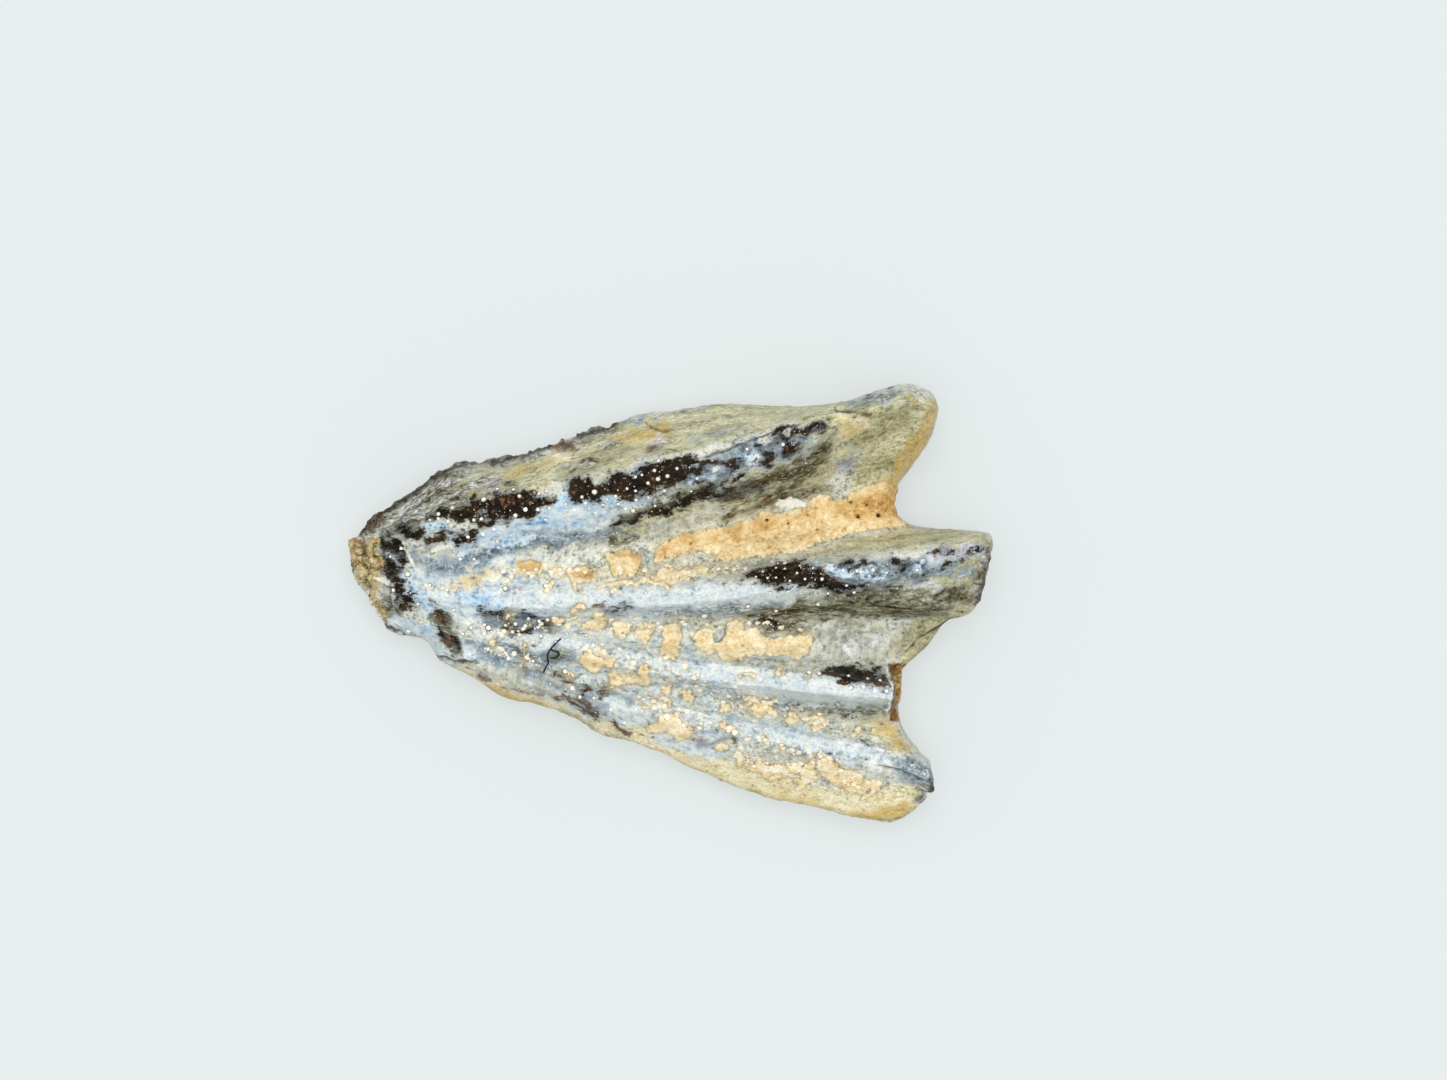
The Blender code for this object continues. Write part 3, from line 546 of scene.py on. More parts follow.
SMALL_CRUMBS = [
    [(554, 622, 3), (562, 621, 2.5)],
    [(580, 608, 3), (573, 612, 2.5)],
    [(489, 645, 1.5), (496, 645, 1)],
    [(524, 648, 1.5), (522, 654, 1)],
    [(524, 662, 1), (522, 669, 1)],
    [(566, 672, 2.5), (572, 673, 2)],
    [(643, 706, 2.5), (650, 706, 2)],
    [(722, 705, 5), (727, 707, 3)],
    [(725, 728, 3), (732, 732, 3)],
    [(763, 738, 3), (768, 741, 2)],
    [(782, 746, 3.5), (784, 750, 2.5)],
    [(724, 748, 2.5), (727, 751, 2)],
    [(853, 731, 3), (858, 728, 3)],
    [(790, 717, 4.5), (795, 720, 4.5)],
    [(748, 699, 4), (760, 704, 6), (770, 714, 5), (752, 710, 4)],
    [(812, 718, 5), (820, 722, 6), (816, 729, 5)],
    [(660, 700, 2), (668, 703, 3)],
    [(745, 676, 2), (752, 678, 2)],
    [(512, 617, 1), (506, 620, 1)],
    [(548, 586, 3)],
    [(640, 585, 1)],
    [(575, 586, 2.5), (580, 588, 2)],
    [(808, 677, 1.5), (812, 676, 1.5)],
    [(778, 673, 2), (782, 668, 1.5)],
]
MATRIX_STROKES = {
    "crumbs by the pillar": [(655, 577, 4), (680, 575, 5), (704, 570, 4)],
    "thin lower edge": [(600, 586, 2), (640, 584, 2), (690, 582, 2)],
    "pale rim crumbs": [(754, 766, 6), (775, 769, 8), (795, 772, 5)],
    "lateral crumbs": [(812, 764, 5), (808, 774, 6), (800, 782, 4)],
    "lateral patch": [(826, 766, 6), (840, 774, 10), (856, 784, 9)],
    "lateral drip": [(738, 752, 4), (742, 762, 5)],
    "lateral strip": [(860, 782, 3), (880, 784, 3), (862, 796, 3)],
    "edge over the groove": [(816, 502, 5), (824, 499, 5)],
} | {f"small crumb {number}": chain for number, chain in enumerate(SMALL_CRUMBS)}
FILL_PATCHES = {
    "fill of the first groove": [
        (656, 548), (676, 536), (706, 529), (736, 524), (756, 517), (764, 511), (785, 513), (808, 506),
        (812, 497), (828, 495), (838, 503), (850, 494), (866, 486), (880, 480), (897, 486), (893, 505),
        (899, 520), (908, 527), (880, 530), (850, 534), (822, 543), (802, 552), (762, 556), (739, 560),
        (714, 561), (719, 554), (699, 551), (678, 556), (654, 562),
    ],
    "fill, left of the pillar": [(605, 554), (625, 549), (641, 555), (641, 567), (634, 577), (614, 577)],
}
MATRIX_PATCHES = FILL_PATCHES | {
    "patch, further left": [
        (566, 573), (574, 568), (586, 566), (593, 572), (590, 581), (580, 584), (571, 580),
    ],
    "patch by the apex": [(518, 563), (530, 560), (541, 562), (539, 569), (521, 570)],
    "plate A": [
        (579.5, 629), (584, 623), (593, 620), (595, 612), (603, 612), (607, 620), (605.5, 628), (597, 631),
    ],
    "plate B": [(611.6, 624.5), (620, 622), (633, 624), (630, 632), (624, 639), (615, 636)],
    "plate C": [(635, 631), (639, 623), (650, 621), (655, 624), (653, 633), (645, 643), (637, 638)],
    "plate D": [
        (663, 626), (671, 623), (680, 624), (681, 638), (679, 654), (674, 661), (666, 659), (660, 652),
        (663, 640),
    ],
    "plate E": [(690, 636), (700, 629), (710, 628), (713, 640), (706, 651), (694, 645)],
    "plate E, labial": [(700, 628), (711, 630), (714, 641), (716, 652), (709, 655), (703, 646)],
    "big plate": [
        (715, 644), (723, 640), (728, 624), (736, 620), (744, 623), (743, 630), (755, 627), (760, 630),
        (762, 636), (772, 638), (787, 634), (810, 634), (814, 638), (808, 652), (796, 661), (789, 657),
        (780, 656), (755, 655), (740, 660), (722, 660), (716, 652),
    ],
    "plate F": [
        (580, 663), (584, 651), (590, 652), (597, 656), (614, 660), (612, 666), (602, 667), (596, 672),
        (587, 670),
    ],
    "plate G": [
        (609, 673), (614, 668), (618, 675), (626, 674), (637, 676), (638, 669), (643, 664), (650, 666),
        (648, 674), (652, 681), (648, 687), (637, 683), (610, 687),
    ],
    "plate H": [(661, 686), (672, 684), (671, 694), (662, 693)],
    "plate I": [(679, 692), (690, 689), (697, 695), (693, 704), (684, 700)],
    "plate J": [
        (644, 726), (657, 722), (662, 715), (677, 713), (680, 718), (686, 727), (694, 727), (691, 735),
        (679, 740), (670, 733), (650, 732),
    ],
}
# Pores in the matrix and the larger beads: (pixel x, pixel y, half width in pixels)
PORES = [
    (850.5, 502, 1.7), (857.5, 517.5, 2.0), (877.5, 517, 2.4), (866, 505, 1.4), (788, 523, 1.4),
    (817, 531, 1.2), (776, 540, 1.2), (766, 518.5, 1.5), (690, 543, 1.3), (885, 508, 1.2), (623, 633, 1.0),
    (563, 623, 1.0), (392, 584, 1.6), (845, 531, 1.0), (473, 577, 1.0),
]
WHITE_BEADS = [
    (390.5, 556.5, 1.8), (401.5, 548, 2.4), (408, 574.5, 3.4), (393.8, 590, 2.6), (409, 630.5, 3.0),
    (430, 520, 1.8), (452, 508, 2.0), (448, 521.5, 2.2), (438.5, 514, 2.4), (438.5, 518.5, 2.0),
    (474, 520, 2.4), (481.5, 519, 2.4), (484, 500, 3.4), (497.5, 489.5, 2.2), (513.5, 490, 2.2),
    (519.5, 496, 2.4), (539, 493.5, 2.0), (546.5, 491, 2.0), (525.5, 509.5, 3.2), (538, 509.5, 2.6),
    (549.5, 508, 2.4), (515.5, 515.5, 2.6), (494, 529, 2.6), (483, 534, 3.0), (468, 536.5, 2.8),
    (574.5, 510, 2.4), (460.5, 559, 2.4), (474, 559, 2.2), (497.5, 541, 2.2), (505.5, 588.5, 3.2),
    (546, 586, 3.4), (453.5, 610, 2.0), (566, 504, 2.0), (582, 497, 2.2), (585.5, 503, 2.2),
    (594.5, 492, 3.2), (573.5, 510, 2.0), (615.5, 496, 2.4), (618, 503.5, 2.4), (603, 504.5, 2.2),
    (635.5, 490.5, 2.2), (627, 488.5, 2.0), (636, 499.5, 2.4), (625.5, 508.5, 2.4), (633, 510, 3.2),
    (648, 483, 2.4), (658, 479, 2.8), (654.5, 470.5, 2.2), (667.5, 476, 2.6), (677, 468.5, 2.0),
    (658.5, 460.5, 2.2), (635.5, 477, 2.0), (664.5, 490.5, 2.2), (655, 505.5, 2.0), (642, 475, 1.8),
    (697, 478, 2.2), (648.5, 497, 2.0), (596, 513, 2.2), (545.5, 519, 2.0), (589, 508, 1.8), (607, 499, 1.8),
    (691, 491, 1.8), (767.5, 578, 1.6), (873, 570, 2.6), (857, 571, 2.4), (843, 570.5, 2.2),
    (917, 569.5, 2.4), (846.5, 585, 2.2), (822, 579, 2.2), (828, 593, 2.0), (854, 592, 2.2),
    (886.5, 572.5, 2.0), (783, 444.5, 2.4), (747, 449, 2.0), (820.5, 756, 3.0), (851, 687.5, 2.8),
    (863.3, 686.7, 2.8), (874.6, 691, 3.0), (886.5, 691, 2.8), (848.5, 676.3, 2.2), (867.5, 679, 2.0),
    (880, 681, 2.4), (776, 577.5, 1.5), (790, 581, 1.6), (756, 577, 1.6), (785, 569, 1.6), (797, 573, 1.6),
    (805, 579, 1.8), (776, 568, 1.6), (763, 572, 1.6), (800, 566, 1.6), (748, 605.5, 3.0), (776, 610.5, 2.4),
    (770, 592, 2.0), (788, 591, 2.0), (818, 604, 2.4), (607, 592, 2.0), (484.5, 625, 2.6), (488.5, 628, 3.4),
    (505.5, 625.5, 2.2), (508.5, 615.5, 2.6), (515.5, 624, 2.8), (525.5, 626, 2.8), (528.5, 618.5, 2.4),
    (512.5, 632, 2.6), (539, 621, 2.6), (538, 627.5, 2.4), (547.5, 619.5, 2.6), (541, 636, 2.6),
    (533, 661, 2.4), (507, 655, 2.2), (514, 653, 2.2), (533, 642, 2.4), (602, 644.5, 3.0), (593, 645.5, 2.6),
    (572.5, 688, 3.2), (594, 698, 2.4), (636, 709.5, 2.2), (624.5, 722.5, 2.4), (697.5, 675, 2.2),
    (565, 671.5, 3.4), (580, 697, 2.4), (611, 709, 2.4), (809, 673, 3.0), (819, 674, 2.6), (556, 642, 1.8),
    (586, 636, 2.0), (567, 634, 2.0), (646, 593, 1.8), (560, 602, 1.8), (430, 585, 2.0), (418, 604, 1.8),
    (447, 590, 1.8), (471, 628, 2.2), (463, 634, 2.0), (470, 654, 2.2),
]

# The stroke charts by their finishes' names: loose ones wander further from their strokes than close ones
LOOSE_CHARTS = {
    "pale": PALE, "white": WHITE, "sky": SKY, "umber": UMBER, "flank": FLANK, "slate": SLATE, "grey": GREY,
    "olive": OLIVE, "moss": MOSS, "tan": TAN, "ochre": OCHRE, "crag": CRAG, "bone": BONE, "mauve": MAUVE,
    "crumble": CRUMBLE, "cream": CREAM, "amber": AMBER, "matrix": MATRIX_STROKES,
}
CLOSE_CHARTS = {"crease": CREASE, "rust": RUST, "chalk": CHALK}
CHARTED = (*LOOSE_CHARTS, *CLOSE_CHARTS, "fill", "break", "pore")


def smoothstep(low, high, value):
    """0 below low, 1 above high, and a smooth rise between them."""
    share = np.clip((value - low) / (high - low), 0.0, 1.0)
    return share * share * (3.0 - 2.0 * share)


def smooth_curve(stations, points, samples):
    """A Catmull-Rom curve through points, read at evenly spaced stations."""
    stations = np.asarray(stations, float)
    points = np.asarray(points, float)
    tangents = np.gradient(points, stations, axis=0)
    wanted = np.linspace(stations[0], stations[-1], samples)
    piece = np.clip(np.searchsorted(stations, wanted, side="right") - 1, 0, len(stations) - 2)
    span = (stations[piece + 1] - stations[piece])[:, None]
    t = (wanted[:, None] - stations[piece][:, None]) / span
    return wanted, (
        (1 + 2 * t) * (1 - t) ** 2 * points[piece]
        + t * (1 - t) ** 2 * span * tangents[piece]
        + t**2 * (3 - 2 * t) * points[piece + 1]
        + t**2 * (t - 1) * span * tangents[piece + 1]
    )


def rail_table(points):
    """The rail's x, y and height at evenly spaced shares of its length in plan."""
    points = np.array(points)
    chords = np.linalg.norm(np.diff(points[:, :2], axis=0), axis=1)
    _, curve = smooth_curve(np.concatenate([[0.0], np.cumsum(chords)]), points, CURVE_SAMPLES)
    steps = np.linalg.norm(np.diff(curve[:, :2], axis=0), axis=1)
    length = np.concatenate([[0.0], np.cumsum(steps)])
    shares = np.linspace(0.0, length[-1], CURVE_SAMPLES)
    return np.stack([np.interp(shares, length, curve[:, axis]) for axis in range(3)])


def grain(places, size, octaves=3):
    """Seeded fractal noise at each place, from about -1 to 1."""
    return np.array([noise.fractal(Vector(place) / size, 1.0, 2.0, octaves) for place in places])


class Fan:
    """The crown's surface over u, from apex to labial edge, and q, the rail number."""

    def __init__(self):
        self.tables = np.array([rail_table(points) for points in RAILS])
        edge = np.array(LABIAL_EDGE)
        self.edge_q, self.edge_xy = smooth_curve(edge[:, 0], edge[:, 1:], CURVE_SAMPLES)
        self.last = len(RAILS) - 1
        self.outline = self.closed_outline()

    def rails_beside(self, u, q):
        """The points at u on the two rails beside q, and how far q lies from the first to the second."""
        first = np.clip(np.floor(q).astype(int), 0, self.last - 1)
        shares = np.linspace(0.0, 1.0, CURVE_SAMPLES)
        at_u = np.array([[np.interp(u, shares, row) for row in table] for table in self.tables])
        picked = np.arange(len(u))
        return at_u[first, :, picked], at_u[first + 1, :, picked], first, q - first

    def plan(self, u, q):
        """Where the surface's point lies in plan."""
        a, b, _, t = self.rails_beside(u, q)
        xy = a[:, :2] + (b - a)[:, :2] * t[:, None]
        end_a, end_b, _, _ = self.rails_beside(np.ones_like(u), q)
        end = end_a[:, :2] + (end_b - end_a)[:, :2] * t[:, None]
        edge = np.stack([np.interp(q, self.edge_q, self.edge_xy[:, axis]) for axis in (0, 1)], axis=1)
        return xy + smoothstep(LABIAL_REACH, 1.0, u)[:, None] * (edge - end)

    def closed_outline(self):
        """The plate's outline in plan, counter-clockwise from the apex end of the lateral rim."""
        along = np.linspace(0.0, 1.0, CURVE_SAMPLES)
        across = along * self.last
        low, high = np.zeros_like(along), np.full_like(along, self.last)
        return np.concatenate(
            [
                self.plan(along, high)[:-1],
                self.plan(high / self.last, across[::-1])[:-1],
                self.plan(along[::-1], low)[:-1],
                self.plan(low, across)[:-1],
            ]
        )

    def section(self, u, q):
        """The height between two rails: a flat worn crest, a shoulder, then a slope into the groove."""
        a, b, first, t = self.rails_beside(u, q)
        width = np.maximum(np.linalg.norm((b - a)[:, :2], axis=1), NARROWEST_GAP)
        height = np.empty_like(u)
        for rail in range(self.last):
            here = first == rail
            crest = rail if rail in WORN_HALF_WIDTH else rail + 1
            away = t[here] if crest == rail else 1.0 - t[here]
            fall = OUTER_FALL if rail in (0, self.last - 1) else GROOVE_FALL
            flat = np.minimum(WORN_HALF_WIDTH[crest] / width[here], WIDEST_FLAT)
            share = np.clip((away - flat) / (1.0 - flat), 0.0, 1.0)
            share *= share * (1.0 + SHOULDER) / (share + SHOULDER)
            share = 1.0 - (1.0 - share) ** fall
            top, low = (a, b) if crest == rail else (b, a)
            height[here] = top[here, 2] + (low[here, 2] - top[here, 2]) * share
        return height

    def edge_distance(self, xy):
        """How far each point in plan lies from the outline."""
        start = self.outline
        side = np.roll(start, -1, axis=0) - start
        square = np.maximum((side**2).sum(axis=1), 1e-12)
        nearest = np.full(len(xy), np.inf)
        for corner, along, length in zip(start, side, square):
            offset = xy - corner
            share = np.clip(offset @ along / length, 0.0, 1.0)
            nearest = np.minimum(nearest, ((offset - share[:, None] * along) ** 2).sum(axis=1))
        return np.sqrt(nearest)

    def overhang(self, u, q):
        """1 at the tips of the cusps, which stand out over the base, and 0 away from them."""
        near = sum(1.0 - smoothstep(0.0, half, abs(q - middle)) for middle, half in CUSPS)
        return near * smoothstep(CUSP_START, 1.0, u)

    def rim_height(self, u, q, xy):
        """The height of the plate's widest line: wavy, and lifted under the cusps."""
        wave = np.array([noise.noise(Vector((x, y, 0.0)) / RIM_WAVE_SIZE) for x, y in xy])
        return RIM_HEIGHT + RIM_WAVE * wave + CUSP_LIFT * self.overhang(u, q)

    def surface(self, u, q):
        """The crown's points: stepped down to the apex, and rounded at the rim, sharply where it broke."""
        xy = self.plan(u, q)
        first, last = BROKEN_RAILS
        broken = smoothstep(*first, q) * (1.0 - smoothstep(*last, q)) * smoothstep(*BROKEN_FROM, u)
        rounding = RIM_ROUNDING + (FRACTURE_ROUNDING - RIM_ROUNDING) * broken
        inward = np.clip(self.edge_distance(xy) / rounding, 0.0, 1.0)
        rise = np.sqrt(1.0 - (1.0 - inward) ** 2)
        rim = self.rim_height(u, q, xy)
        crown = self.section(u, q) - APEX_STEP * (1.0 - smoothstep(*APEX_MARGIN, u))
        return np.column_stack([xy, rim + (crown - rim) * rise])

    def wall(self, u, q, down):
        """The wall under the rim point at u and q, a share of the way down, drawn in towards the base."""
        inward = np.interp(down, *np.transpose(WALL_PROFILE))
        labial_in = BASE_IN_NOTCH + (BASE_IN_CUSP - BASE_IN_NOTCH) * self.overhang(np.ones_like(u), q)
        base_u = BASE_IN_APEX + u * (1.0 - BASE_IN_APEX - labial_in)
        base_q = BASE_IN_RIM + q * (1.0 - 2.0 * BASE_IN_RIM / self.last)
        xy = self.plan(u + (base_u - u) * inward, q + (base_q - q) * inward)
        return np.column_stack([xy, self.rim_height(u, q, self.plan(u, q)) * (1.0 - down)])


FAR_PIXELS = 60.0
FRACTURE = [
    (889, 664), (892, 672), (894, 681), (895, 690), (893, 702), (890, 712), (889, 721), (914, 723),
    (914, 667), (902, 662),
]
FRACTURE_EDGE = 0.15
STROKE_WANDER = 6.5
STROKE_WANDER_SIZE = 14.0
WANDER_SHIFT = 500.0
OUTLINE_WANDER = 1.6
OUTLINE_WANDER_SIZE = 6.0


def photo_pixels(places):
    """Where the photograph shows each place: higher places lie further from its middle."""
    spread = CAMERA_RISE / (CAMERA_RISE - (places[:, 2] - SHARP_HEIGHT))
    flat = VIEW_MIDDLE + (places[:, :2] - VIEW_MIDDLE) * spread[:, None]
    return BASE_PIXEL + flat / MM_PER_PIXEL * (1.0, -1.0)


def depth_in_strokes(pixels, strokes):
    """How deep each pixel lies in the nearest stroke: its half width there, less the way to its middle."""
    deepest = np.full(len(pixels), -FAR_PIXELS)
    for chain in strokes.values():
        chain = np.array(chain * 2 if len(chain) == 1 else chain, float)
        for start, end in zip(chain[:-1], chain[1:]):
            along = end[:2] - start[:2]
            share = np.clip((pixels - start[:2]) @ along / max(along @ along, 1e-9), 0.0, 1.0)
            gap = pixels - start[:2] - share[:, None] * along
            reach = start[2] + (end[2] - start[2]) * share
            deepest = np.maximum(deepest, reach - np.hypot(gap[:, 0], gap[:, 1]))
    return deepest


def depth_in_patches(pixels, patches):
    """How deep each pixel lies inside the nearest closed outline, and less than nothing outside."""
    deepest = np.full(len(pixels), -FAR_PIXELS)
    for outline in patches.values():
        corners = np.array(outline, float)
        inside = np.zeros(len(pixels), bool)
        nearest = np.full(len(pixels), np.inf)
        for start, end in zip(corners, np.roll(corners, -1, axis=0)):
            along = end - start
            offset = pixels - start
            share = np.clip(offset @ along / (along @ along), 0.0, 1.0)
            gap = offset - share[:, None] * along
            nearest = np.minimum(nearest, np.hypot(gap[:, 0], gap[:, 1]))
            spans = (start[1] > pixels[:, 1]) != (end[1] > pixels[:, 1])
            rise = along[1] if along[1] else 1e-9
            inside ^= spans & (pixels[:, 0] < start[0] + (pixels[:, 1] - start[1]) * along[0] / rise)
        deepest = np.maximum(deepest, np.where(inside, nearest, -nearest))
    return deepest


def wandering(pixels, reach, size):
    """The pixels, each moved by up to about this reach in a smooth random way."""
    flat = np.column_stack([pixels, np.zeros(len(pixels))])
    return pixels + reach * np.column_stack([grain(flat, size, 3), grain(flat + WANDER_SHIFT, size, 3)])


def chart_depths(pixels):
    """The depth of each pixel in every charted finish, by the finish's name."""
    exact = pixels
    pixels = wandering(exact, STROKE_WANDER, STROKE_WANDER_SIZE)
    outline_pixels = wandering(exact, OUTLINE_WANDER, OUTLINE_WANDER_SIZE)
    depths = {name: depth_in_strokes(pixels, chart) for name, chart in LOOSE_CHARTS.items()}
    depths["matrix"] = np.maximum(depths["matrix"], depth_in_patches(outline_pixels, MATRIX_PATCHES))
    for name, chart in CLOSE_CHARTS.items():
        depths[name] = depth_in_strokes(outline_pixels, chart)
    depths["fill"] = depth_in_patches(outline_pixels, FILL_PATCHES)
    depths["break"] = depth_in_patches(outline_pixels, {"fracture": FRACTURE})
    depths["pore"] = depth_in_strokes(exact, {place: [place] for place in PORES})
    return depths


# Relief over the plain form: how high or deep each finish stands, in millimetres
MATRIX_THICKNESS = 0.055
FILL_THICKNESS = 0.09
PORE_DEPTH = 0.10
CREASE_DEPTH = 0.035
UMBER_DEPTH = 0.025
UMBER_PITTING = 1.5
LEDGE_HEIGHT = 0.09
CRAG_LUMPS = 0.07
BOSS_HEIGHT = 0.09
BOSS_FORM = {"flat": 0.6, "grit": 0.8, "lumps": 0.6}
GRIT_HEIGHTS = {"crown": 0.014, "matrix": 0.012, "crumble": 0.014}
STRIA_HEIGHT = 0.020
LUMP_HEIGHTS = {"crown": 0.034, "matrix": 0.012}
# How far worn enamel smooths the grit and the stria away, and how far the dark border roughens the stria
PALE_SMOOTHING = 0.6
GRIT_SMOOTHING = 0.5
STRIA_SMOOTHING = 0.6
BORDER_STRIA = 0.8

# Sizes of the relief's noises, and their stretch along the crown, across it and down the wall
GRIT_SIZE = 0.16
LUMP_SIZE = 0.42
CRAG_SIZE = 0.26
STRIA_SIZE = 0.5
STRIA_STRETCH = (0.45, 2.6, 1.0)
LEDGE_SIZE = 0.30
LEDGE_STRETCH = (0.5, 1.6, 1.0)
# How far the places are moved to read another part of the same noise
NOISE_SHIFTS = {"lumps": 9.0, "crag": 5.0, "wall": 4.0}

# The depths in pixels over which each relief sets in
PLATE_EDGE = (-0.8, 1.6)
PLATE_EDGE_GRIT = 0.8
SETS_IN = {
    "fill": (0.0, 7.0), "umber": (-1.5, 2.5), "crag": (-3.0, 4.0), "bone": (-3.0, 5.0),
    "crumble": (-2.0, 5.0), "pore": (-1.6, 0.8), "crease": (-1.8, 0.4), "white": (-2.0, 4.0),
    "pale": (-2.0, 6.0), "flank": (-3.0, 5.0),
}

# The knob at the fourth ridge's end, the notches, and the two broken faces that drop straight down
KNOB = {"knob": [(914, 768, 3), (925, 774, 4)], "lower": [(929, 786, 2)]}
KNOB_HEIGHT = 0.12
KNOB_EDGE = (-2.0, 2.0)
NOTCHES = {"under the knob": [(921, 791, 2), (934, 793, 3)], "ledge": [(918, 644, 1.2), (921, 637, 0.8)]}
NOTCH_DEPTH = 0.12
NOTCH_EDGE = (-2.0, 1.5)
FRACTURE_DROP = 0.35
FRACTURE_DROP_EDGE = (-0.5, 4.0)
LEDGE_DROP = 0.10
LEDGE_DROP_EDGE = (-1.0, 2.5)
BROKEN_LEDGE = [
    (1002, 560), (984, 574), (972, 592), (955, 607), (932, 622), (912, 640), (893, 656), (900, 672),
    (930, 660), (975, 625), (1002, 600),
]


def crown_relief(places, flow, depths, side):
    """How far each point stands off the plain form."""
    pixels = photo_pixels(places)
    grit = grain(places, GRIT_SIZE, 2)
    lumps = grain(places + NOISE_SHIFTS["lumps"], LUMP_SIZE, 3)
    stria = grain(flow * STRIA_STRETCH, STRIA_SIZE, 3)
    ledges = 1.0 - 2.0 * abs(grain(flow * LEDGE_STRETCH, LEDGE_SIZE, 3))
    crags = LEDGE_HEIGHT * ledges + CRAG_LUMPS * grain(places + NOISE_SHIFTS["crag"], CRAG_SIZE, 3)
    share = {name: smoothstep(*depths_over, depths[name]) for name, depths_over in SETS_IN.items()}
    matrix = smoothstep(*PLATE_EDGE, depths["matrix"] + PLATE_EDGE_GRIT * grit)
    smooth = np.maximum(share["white"], PALE_SMOOTHING * share["pale"])
    border = share["flank"] * (1.0 - matrix)
    raised = MATRIX_THICKNESS * matrix + FILL_THICKNESS * share["fill"]
    raised -= PORE_DEPTH * share["pore"]
    raised -= CREASE_DEPTH * share["crease"]
    raised -= UMBER_DEPTH * share["umber"] * (1.0 + UMBER_PITTING * grit)
    raised += KNOB_HEIGHT * smoothstep(*KNOB_EDGE, depth_in_strokes(pixels, KNOB))
    raised -= NOTCH_DEPTH * smoothstep(*NOTCH_EDGE, depth_in_strokes(pixels, NOTCHES))
    raised += share["crag"] * crags
    boss = BOSS_FORM["flat"] + BOSS_FORM["grit"] * grit + BOSS_FORM["lumps"] * lumps
    raised += BOSS_HEIGHT * share["bone"] * boss
    gritty = GRIT_HEIGHTS["crown"] + GRIT_HEIGHTS["matrix"] * matrix
    gritty += GRIT_HEIGHTS["crumble"] * share["crumble"]
    raised += gritty * (1.0 - GRIT_SMOOTHING * smooth) * grit
    lined = STRIA_HEIGHT * (1.0 - matrix) * (1.0 - STRIA_SMOOTHING * smooth) * stria
    raised += lined * (1.0 + BORDER_STRIA * border)
    raised += (LUMP_HEIGHTS["crown"] + LUMP_HEIGHTS["matrix"] * matrix) * lumps
    return raised * (1.0 - side)


def fine_plate(fan):
    """The whole plate: a fine crown, the wall in rings below its rim, and a coarser hollowed base."""
    plate = bmesh.new()
    layers = [plate.verts.layers.float.new(name) for name in ("u", "q", "down")]
    keep_u, keep_q, keep_down = layers
    across = sum(CELLS_ACROSS)
    rail_cells = np.concatenate([[0], np.cumsum(CELLS_ACROSS)])

    def spread(made, cells):
        """Gives the grid's vertices their u and q, and returns both."""
        corner = np.array([vert.co[:2] for vert in made])
        u = (corner[:, 0] + 1.0) / 2.0
        q = np.interp((1.0 - corner[:, 1]) / 2.0 * cells, rail_cells, np.arange(len(rail_cells)))
        for vert, along, rail in zip(made, u, q):
            vert[keep_u], vert[keep_q] = along, rail
        return u, q

    crown = bmesh.ops.create_grid(plate, x_segments=CELLS_ALONG, y_segments=across, size=1.0)["verts"]
    u, q = spread(crown, across)
    places = fan.surface(u, q)
    bony = 1.0 - smoothstep(*APEX_MARGIN, u)
    roughness = SURFACE_ROUGHNESS + (BONE_ROUGHNESS - SURFACE_ROUGHNESS) * bony
    inside = np.array([not vert.is_boundary for vert in crown])
    places[:, 2] += np.where(inside, roughness * grain(places, ROUGHNESS_SIZE), 0.0)
    for vert, place in zip(crown, places):
        vert.co = place

    rim = [edge for edge in plate.edges if edge.is_boundary]
    for ring_number in range(1, WALL_RINGS + 1):
        down = ring_number / WALL_RINGS
        made = bmesh.ops.extrude_edge_only(plate, edges=rim)["geom"]
        ring = [item for item in made if isinstance(item, bmesh.types.BMVert)]
        ring_u, ring_q = (np.array([vert[layer] for vert in ring]) for layer in (keep_u, keep_q))
        for vert, place in zip(ring, fan.wall(ring_u, ring_q, down)):
            vert.co = place
            vert[keep_down] = down
        rim = [item for item in made if isinstance(item, bmesh.types.BMEdge)]

    base = bmesh.ops.create_grid(
        plate, x_segments=CELLS_ALONG // BASE_COARSENESS, y_segments=across // BASE_COARSENESS, size=1.0
    )["verts"]
    base_u, base_q = spread(base, across)
    base_u = BASE_SPAN_U[0] + BASE_SPAN_U[1] * base_u
    base_q = BASE_SPAN_Q[0] + BASE_SPAN_Q[1] * base_q
    for vert, place in zip(base, fan.wall(base_u, base_q, 1.0)):
        vert.co = (place[0], place[1], 0.0)
        vert[keep_down] = BASE_DOWN
    base_faces = {face for vert in base for face in vert.link_faces}
    bmesh.ops.reverse_faces(plate, faces=list(base_faces))
    base_rim = [edge for vert in base for edge in vert.link_edges if edge.is_boundary]
    bmesh.ops.bridge_loops(plate, edges=rim + list(set(base_rim)))
    bmesh.ops.recalc_face_normals(plate, faces=plate.faces)
    return plate


# The wall's roughness: how far it stands, where it starts, the sizes of its noises and the finer one's share
WALL_ROUGHNESS = 0.055
WALL_STARTS = (0.0, 0.5)
WALL_NOISE_SIZE = 0.38
WALL_FINE_SIZE = 0.12
WALL_FINE_SHARE = 0.5
CROWN_ENDS = (0.0, 0.25)
# The underside: hollowed inwards from its edge, with bumps
BASE_HOLLOW = 0.22
BASE_HOLLOW_EDGE = (0.1, 1.6)
BASE_BUMPS = 0.10
BASE_BUMP_SIZE = 0.55
BASE_REST = 0.004


